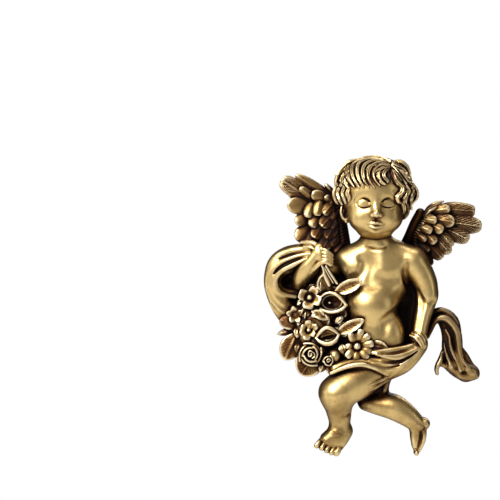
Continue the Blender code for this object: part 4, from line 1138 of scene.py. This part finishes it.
def small_blossom(c):
    """The six-petalled blossom at the left of the middle."""
    places = [
        (156, 6.4, 2.9, 30.2), (254, 8.2, 3.2, 30.2), (204, 7.0, 2.8, 30.2),
        (24, 7.6, 2.9, 30.2), (92, 7.4, 3.0, 30.2), (-40, 6.6, 2.7, 30.2),
    ]
    petals(c, (-52.4, -51, 25.6), places, point=0.2, root_point=0.85, dish=0.9, arch=0.5, blend=0.2)
    c.blob(-52.4, -51, 28.6, 1.7, 1.7, 2.2, blend=0.3)


def daisy(c):
    """The daisy at the right, whose petals overlap."""
    places = [
        (180, 9.0, 2.6, 32.4), (119, 12.2, 3.1, 34.0), (98, 10.6, 2.4, 32.6), (76, 14.0, 3.1, 34.6),
        (44, 13.4, 3.2, 34.4),
        (10, 13.0, 3.4, 34.6), (-22, 12.6, 3.0, 34.0), (-50, 12.8, 3.4, 34.6), (-94, 11.8, 3.2, 34.2),
        (-134, 12.0, 3.5, 34.4),
    ]
    places = [(way, reach, w, tip + 0.9) for way, reach, w, tip in places]
    look = dict(point=0.22, root_point=0.85, camber=0.5, dish=0.35, arch=1.2, blend=0.12)
    petals(c, (-13, -64.2, 30.2), places, **look)
    c.blob(-13, -64.2, 33.4, 2.9, 2.9, 2.8, blend=0.3)
    c.blob(-13, -64, 26, 6, 6, 6, blend=0.5)


def full_rose(c):
    """The rose at the lower left: two rings of petals round a coiled heart."""
    rose = (-50.9, -70.8)
    c.blob(*rose, 20, 9.0, 9.0, 8.0, blend=0.6)
    walls(c, rose, 9.4, 4, 112, 6, 27.8, 1.45, 3.6)
    walls(c, rose, 6.2, 3, 135, 50, 31, 1.2, 3.6)
    heart = []
    for step in range(15):
        way = math.radians(-60 + 36 * step)
        radius = (3.4 - 0.24 * step) * (1 + 0.16 * math.cos(3 * way + 0.6))
        heart.append((rose[0] + radius * math.cos(way), rose[1] + radius * 1.15 * math.sin(way),
                      32.6 + 0.06 * step, 0.95, 3.0))
    c.sweep(heart, blend=0.15, step=0.6)


def small_rose(c):
    """The half-open rose at the bottom, and the forms that carry it and the daisy."""
    bud = (-36.4, -76.0)
    c.blob(-35.6, -75.6, 22.5, 5.2, 5.6, 7, blend=0.4)
    c.blob(-30.8, -72.8, 25.6, 5.4, 6.8, 7.6, 22, blend=0.4)
    walls(c, bud, 4.0, 3, 150, 30, 30.6, 0.85, 2.8)
    heart = [(bud[0] + (1.9 - 0.2 * step) * math.cos(0.9 * step),
              bud[1] + (2.1 - 0.2 * step) * math.sin(0.9 * step), 32.2, 0.65, 2.4) for step in range(8)]
    c.sweep(heart, blend=0.15, step=0.6)
    c.blob(-22.6, -69.6, 20, 5.0, 6.0, 6, blend=0.5, wall=True)
    c.blob(-28.6, -68.4, 12, 7, 8, 10, blend=0.5, wall=True)
    c.blob(-25.4, -75, 12, 6, 5.4, 9, blend=0.5, wall=True)
    leaf(c, (-27, -66, 26.6), (-19.6, -73.4, 28.6), 2.8, 1.5, camber=0.6)


def flowers():
    """The garland: stems, leaves, open buds, a four-petalled flower, a daisy, a rose and its bud."""
    c = Clay("flowers", (-83, -95, -1.4), (17, 9, 44), 0.4, back=0.75)
    garland_ground(c)
    held_stems(c)
    large_leaves(c)
    four_petalled_flower(c)
    upper_bud(c)
    lower_bud(c)
    star_flower(c)
    small_blossom(c)
    daisy(c)
    full_rose(c)
    small_rose(c)
    c.flat_back()
    return c


def blurred(volume, sigma):
    """A volume blurred with a bell curve, sigma cells wide."""
    shape = volume.shape
    turned = np.fft.rfftn(volume)
    for axis in range(3):
        rate = np.fft.rfftfreq(shape[2]) if axis == 2 else np.fft.fftfreq(shape[axis])
        fade = np.exp(-2 * (math.pi * sigma * rate) ** 2)
        form = [1, 1, 1]
        form[axis] = len(fade)
        turned *= fade.reshape(form)
    return np.fft.irfftn(turned, s=shape).astype(np.float32)


class Whole:
    """How full each cubic millimetre of the casting is."""

    def __init__(self, clays, low=(-100, -166, -12), high=(100, 104, 66)):
        self.low = np.array(low, float)
        self.shape = tuple(int(b - a) for a, b in zip(low, high))
        self.full = np.zeros(self.shape, np.float32)
        for clay in clays:
            tops = [values[-1] for values in clay.axes]
            first = np.ceil(clay.low - self.low).astype(int)
            last = np.floor(np.array(tops) - self.low).astype(int)
            picks = []
            for axis in range(3):
                spots = np.arange(first[axis], last[axis]) + self.low[axis] - clay.low[axis]
                picks.append(np.clip(np.round(spots / clay.cell).astype(int), 0,
                                     clay.field.shape[axis] - 1))
            sample = clay.field[np.ix_(*picks)]
            box = tuple(slice(a, b) for a, b in zip(first, last))
            self.full[box] = np.maximum(self.full[box], np.clip(0.5 - sample, 0, 1))
        wall = int(-self.low[2]) + 1
        self.full[:, :, :wall] = self.full[:, :, wall:wall + 1]
        self.near = blurred(self.full, 1.3)

    def hidden(self, points, normals, reach):
        """The share of the ways out of each point that meet the casting within reach."""
        met, weights = np.zeros(len(points), np.float32), np.zeros(len(points), np.float32)
        for number in range(RAYS):
            up = 1 - 2 * (number + 0.5) / RAYS
            way = GOLDEN_ANGLE * number
            flat = math.sqrt(1 - up * up)
            ray = np.array((flat * math.cos(way), flat * math.sin(way), up))
            weight = np.clip(normals @ ray, 0, 1)
            blocked = np.zeros(len(points), np.float32)
            for share in (0.12, 0.22, 0.36, 0.55, 0.77, 1.0):
                spots = points + normals * 0.8 + ray * (reach * share)
                cell = np.clip(np.round(spots - self.low).astype(int), 0, np.array(self.shape) - 1)
                there = self.full[cell[:, 0], cell[:, 1], cell[:, 2]]
                blocked = np.maximum(blocked, there * (1.15 - 0.6 * share))
            met += weight * np.minimum(blocked, 1)
            weights += weight
        return met / np.maximum(weights, 1e-6)


def ramp(values, low, high):
    """A smooth step from 0 at low to 1 at high."""
    share = np.clip((values - low) / (high - low), 0, 1)
    return share * share * (3 - 2 * share)


def drawn(name, points, quads, most):
    """A mesh of the faces, with its flatter ones merged until it has few enough triangles."""
    mesh = bpy.data.meshes.new(name)
    mesh.vertices.add(len(points))
    mesh.vertices.foreach_set("co", points.astype(np.float32).ravel())
    mesh.loops.add(quads.size)
    mesh.loops.foreach_set("vertex_index", quads.astype(np.int32).ravel())
    mesh.polygons.add(len(quads))
    mesh.polygons.foreach_set("loop_start", np.arange(0, quads.size, 4, dtype=np.int32))
    mesh.polygons.foreach_set("loop_total", np.full(len(quads), 4, np.int32))
    mesh.update(calc_edges=True)
    if 2 * len(quads) <= most:
        return mesh
    whole_piece = bpy.data.objects.new(name, mesh)
    bpy.context.scene.collection.objects.link(whole_piece)
    merge = whole_piece.modifiers.new("merge", "DECIMATE")
    merge.ratio = most / (2 * len(quads))
    ready = whole_piece.evaluated_get(bpy.context.evaluated_depsgraph_get())
    thin = bpy.data.meshes.new_from_object(ready)
    bpy.data.objects.remove(whole_piece)
    bpy.data.meshes.remove(mesh)
    return thin


def make_piece(clay, whole, glaze_and_shade, wear, most, material):
    """Draws a region as a mesh, with where its glaze and its painted shade lie and its edges are worn at
    each point.
    """
    mesh = drawn(clay.name, *clay.surface(), most)
    count = len(mesh.vertices)
    points = np.empty(count * 3, np.float32)
    mesh.vertices.foreach_get("co", points)
    points = points.reshape(count, 3)
    normals = clay.slope(points)
    depth = points[:, 2]
    near = sampled(whole.near, points - whole.low)
    close = whole.hidden(points, normals, CLOSE_REACH)
    deep = whole.hidden(points, normals, DEEP_REACH)
    swell = clay.swell(points)
    rubbed = np.maximum(ramp(near, *SHARP_EDGE), 0.8 * ramp(swell, *PROUD))
    worn = wear * rubbed * ramp(depth, *OFF_WALL)
    # The glaze and the painted shade: the region's share, stronger towards the wall, more close to the wall
    # itself, in sunk places, on sides turned away from the front and in the pools.
    low = glaze_and_shade * np.clip(1.5 - depth / 24, 0.4, 1.2) + 0.75 * ramp(depth, *NEAR_WALL)
    low = low + 0.75 * ramp(-swell, *SUNK) + 0.55 * ramp(normals[:, 2], *SIDEWAYS)
    for x, z, reach, amount, top in SHADE_AND_GLAZE_POOLS:
        away = (points[:, 0] - x) ** 2 + (points[:, 1] - z) ** 2
        low = low + amount * np.exp(-away / reach ** 2) * ramp(depth, top, top - SHADE_AND_GLAZE_POOL_FADE)
    behind = ramp(-normals[:, 2], *BACKWARDS) * ramp(depth, *ON_WALL)
    near, low = near + (0.45 - near) * behind, low + (0.3 - low) * behind
    close, deep = close * (1 - behind), deep * (1 - behind)
    world = np.stack([points[:, 0], -points[:, 2], points[:, 1]], axis=1)
    mesh.vertices.foreach_set("co", (world * MM).ravel())
    mesh.polygons.foreach_set("use_smooth", np.ones(len(mesh.polygons), bool))
    for name, values in (("near", near), ("close", close), ("deep", deep), ("glaze_and_shade", low), ("worn", worn)):
        layer = mesh.attributes.new(name, "FLOAT", "POINT")
        layer.data.foreach_set("value", values.astype(np.float32))
    mesh.update()
    mesh.normals_split_custom_set_from_vertices(np.stack([normals[:, 0], -normals[:, 2], normals[:, 1]],
                                                         axis=1))
    mesh.materials.append(material)
    piece = bpy.data.objects.new(clay.name, mesh)
    bpy.context.scene.collection.objects.link(piece)
    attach(piece, "root")
    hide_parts(NODE)


class Nodes:
    """Short ways to build a node tree."""

    def __init__(self, tree):
        self.tree = tree
        tree.nodes.clear()

    def add(self, kind, **settings):
        node = self.tree.nodes.new(kind)
        for name, value in settings.items():
            setattr(node, name, value)
        return node

    def link(self, source, target):
        self.tree.links.new(source, target)

    def put(self, target, value):
        if hasattr(value, "is_output"):
            self.link(value, target)
        else:
            target.default_value = value

    def maths(self, operation, a, b=0.0):
        node = self.add("ShaderNodeMath", operation=operation)
        self.put(node.inputs[0], a)
        self.put(node.inputs[1], b)
        return node.outputs[0]

    def attribute(self, name):
        return self.add("ShaderNodeAttribute", attribute_name=name).outputs["Fac"]

    def spread(self, value, low, high, to_low=0.0, to_high=1.0):
        node = self.add("ShaderNodeMapRange", interpolation_type="SMOOTHSTEP")
        self.put(node.inputs[0], value)
        for place, number in zip((1, 2, 3, 4), (low, high, to_low, to_high)):
            node.inputs[place].default_value = number
        return node.outputs[0]

    def noise(self, place, scale, detail=3.0, rough=0.55):
        node = self.add("ShaderNodeTexNoise")
        self.link(place, node.inputs["Vector"])
        node.inputs["Scale"].default_value = scale
        node.inputs["Detail"].default_value = detail
        node.inputs["Roughness"].default_value = rough
        return node.outputs["Fac"]

    def blend(self, share, a, b):
        node = self.add("ShaderNodeMix", data_type="RGBA")
        self.put(node.inputs[0], share)
        self.put(node.inputs[6], a)
        self.put(node.inputs[7], b)
        return node.outputs[2]


# The gold goes through OLIVE and UMBER_AND_SHADE to black as the glaze and the painted shade grow: these
# darker steps stand for both.
RUBBED = (0.98, 0.82, 0.55, 1.0)
GOLD = (0.72, 0.515, 0.21, 1.0)
OLIVE = (0.40, 0.26, 0.095, 1.0)
UMBER_AND_SHADE = (0.105, 0.038, 0.012, 1.0)
GLAZE_AND_SHADE_BLACK = (0.013, 0.005, 0.003, 1.0)


def antique_gold():
    """Metallic gold under a dark glaze, which has pooled in the hollows and is rubbed off the edges, and
    which also carries painted shade: it turns brown and black where shade falls.
    """
    material = bpy.data.materials.new("antique gold")
    material.use_nodes = True
    n = Nodes(material.node_tree)
    place = n.add("ShaderNodeTexCoord").outputs["Object"]
    near, close = n.attribute("near"), n.attribute("close")
    deep, glaze_and_shade = n.attribute("deep"), n.attribute("glaze_and_shade")
    worn = n.attribute("worn")
    mottle = n.noise(place, 55.0, 4.0)
    fine = n.noise(place, 380.0, 3.0)
    specks = n.noise(place, 1300.0, 2.0)

    # How much glaze and painted shade lies at each point: enclosed and sunk points, the piece's glaze and
    # painted shade, and random mottling darken it; worn edges lighten it.
    patina_and_shade = n.maths("ADD", n.maths("MULTIPLY", close, 1.05), n.maths("MULTIPLY", deep, 0.95))
    patina_and_shade = n.maths("ADD", patina_and_shade, n.spread(deep, 0.30, 0.70, 0.0, 0.6))
    patina_and_shade = n.maths("ADD", patina_and_shade, n.maths("MULTIPLY", n.spread(near, 0.50, 0.68), 0.45))
    patina_and_shade = n.maths("ADD", patina_and_shade, glaze_and_shade)
    patina_and_shade = n.maths("ADD", patina_and_shade, n.maths("MULTIPLY", n.maths("SUBTRACT", mottle, 0.5), 0.55))
    patina_and_shade = n.maths("ADD", patina_and_shade, n.maths("MULTIPLY", n.maths("SUBTRACT", fine, 0.5), 0.20))
    patina_and_shade = n.maths("SUBTRACT", patina_and_shade, n.maths("MULTIPLY", worn, 0.45))

    tone = n.blend(n.spread(patina_and_shade, -0.05, 0.30), GOLD, OLIVE)
    tone = n.blend(n.maths("MULTIPLY", worn, 0.8), tone, RUBBED)
    brown = n.spread(patina_and_shade, 0.20, 0.80)
    tone = n.blend(brown, tone, UMBER_AND_SHADE)
    # The black is painted shade and glaze in the deepest hollows.
    black = n.spread(patina_and_shade, 0.66, 1.22)
    tone = n.blend(black, tone, GLAZE_AND_SHADE_BLACK)

    shader = n.add("ShaderNodeBsdfPrincipled")
    n.link(tone, shader.inputs["Base Color"])
    n.link(n.maths("SUBTRACT", 1.0, n.maths("MULTIPLY", black, 0.4)), shader.inputs["Metallic"])
    rough = n.maths("ADD", 0.38, n.maths("MULTIPLY", brown, 0.20))
    rough = n.maths("ADD", rough, n.maths("MULTIPLY", n.maths("SUBTRACT", fine, 0.5), 0.16))
    n.link(rough, shader.inputs["Roughness"])
    shader.inputs["Specular IOR Level"].default_value = 0.25
    bump = n.add("ShaderNodeBump")
    bump.inputs["Strength"].default_value = 0.30
    bump.inputs["Distance"].default_value = 0.0003
    height = n.maths("ADD", n.maths("MULTIPLY", fine, 0.7), n.maths("MULTIPLY", specks, 0.3))
    n.link(height, bump.inputs["Height"])
    n.link(bump.outputs["Normal"], shader.inputs["Normal"])
    output = n.add("ShaderNodeOutputMaterial")
    n.link(shader.outputs[0], output.inputs["Surface"])
    return material


def pale_floor():
    """A matt floor far below the plaque."""
    material = bpy.data.materials.new("pale floor")
    material.use_nodes = True
    n = Nodes(material.node_tree)
    place = n.add("ShaderNodeTexCoord").outputs["Object"]
    shader = n.add("ShaderNodeBsdfPrincipled")
    n.link(n.blend(n.noise(place, 3.0), (0.80, 0.80, 0.80, 1), (0.84, 0.84, 0.83, 1)),
           shader.inputs["Base Color"])
    shader.inputs["Roughness"].default_value = 0.8
    n.link(shader.outputs[0], n.add("ShaderNodeOutputMaterial").inputs["Surface"])
    mesh = bpy.data.meshes.new("floor")
    half, low = 1.4, -0.45
    mesh.from_pydata([(-half, -half, low), (half, -half, low), (half, half, low), (-half, half, low)], [],
                     [(0, 1, 2, 3)])
    mesh.materials.append(material)
    floor = bpy.data.objects.new("floor", mesh)
    bpy.context.scene.collection.objects.link(floor)


def studio_light():
    """A pale room: white to the camera, dimmer to the gold, with soft panels round the plaque."""
    world = bpy.data.worlds.new("studio")
    bpy.context.scene.world = world
    world.use_nodes = True
    n = Nodes(world.node_tree)
    shown = n.add("ShaderNodeBackground")
    shown.inputs["Color"].default_value = (1, 1, 1, 1)
    shown.inputs["Strength"].default_value = 1.0
    lit = n.add("ShaderNodeBackground")
    facing = n.add("ShaderNodeVectorMath", operation="DOT_PRODUCT")
    n.link(n.add("ShaderNodeTexCoord").outputs["Generated"], facing.inputs[0])
    facing.inputs[1].default_value = (-0.42, -0.78, 0.46)
    rise = n.spread(facing.outputs["Value"], -0.25, 1.0)
    n.link(n.blend(rise, (0.028, 0.017, 0.010, 1), (0.62, 0.60, 0.59, 1)), lit.inputs["Color"])
    lit.inputs["Strength"].default_value = 0.6
    mix = n.add("ShaderNodeMixShader")
    n.link(n.add("ShaderNodeLightPath").outputs["Is Camera Ray"], mix.inputs[0])
    n.link(lit.outputs[0], mix.inputs[1])
    n.link(shown.outputs[0], mix.inputs[2])
    n.link(mix.outputs[0], n.add("ShaderNodeOutputWorld").inputs["Surface"])

    panels = [
        ("key", (-0.80, -1.10, 0.85), 0.66, 0.66, 33.0),
        ("top", (0.15, -0.35, 1.30), 0.80, 0.35, 4.0),
        ("fill", (1.30, -0.75, 0.15), 0.22, 0.90, 1.6),
        ("rim", (-1.25, -0.20, -0.05), 0.20, 0.90, 1.6),
        ("back", (0.5, 1.2, 0.8), 0.8, 0.8, 9.0),
    ]
    for name, place, wide, tall, power in panels:
        light = bpy.data.lights.new(name, "AREA")
        light.shape = "RECTANGLE"
        light.size, light.size_y = wide, tall
        light.energy = power
        lamp = bpy.data.objects.new(name, light)
        lamp.location = place
        lamp.rotation_euler = (-Vector(place)).to_track_quat("-Z", "Y").to_euler()
        bpy.context.scene.collection.objects.link(lamp)


def photo_camera():
    """The camera of the photo: straight on, from far away."""
    data = bpy.data.cameras.new("camera")
    data.sensor_width = 36.0
    distance = 2.5
    frame_width = 0.4083
    data.lens = data.sensor_width * distance / frame_width
    data.clip_end = 50.0
    camera = bpy.data.objects.new("camera", data)
    camera.location = (-0.1002, -distance - 0.025, 0.01425)
    camera.rotation_euler = (math.pi / 2, 0, 0)
    bpy.context.scene.collection.objects.link(camera)
    bpy.context.scene.camera = camera


# Each region with its share of patina and painted shade, how far its edges are rubbed, and its most
# triangles.
regions = [
    (body, 0.0, 0.5, 112000), (front_foot, 0.03, 0.3, 36000), (back_foot, 0.04, 0.3, 16000),
    (head, 0.0, 0.5, 84000), (hair, 0.22, 0.6, 160000), (left_wing, 0.40, 0.55, 100000),
    (right_wing, 0.46, 0.6, 84000), (sleeve, 0.03, 0.6, 60000), (hip_cloth, 0.19, 0.6, 60000),
    (tail_cloth, 0.36, 0.3, 42000), (flowers, 0.29, 1.0, 190000),
]
clays = [region[0]() for region in regions]
whole = Whole(clays)
gold = antique_gold()
for clay, (_, glaze_and_shade, wear, most) in zip(clays, regions):
    make_piece(clay, whole, glaze_and_shade, wear, most, gold)
pale_floor()
studio_light()
photo_camera()
bpy.context.scene.view_settings.view_transform = "Standard"
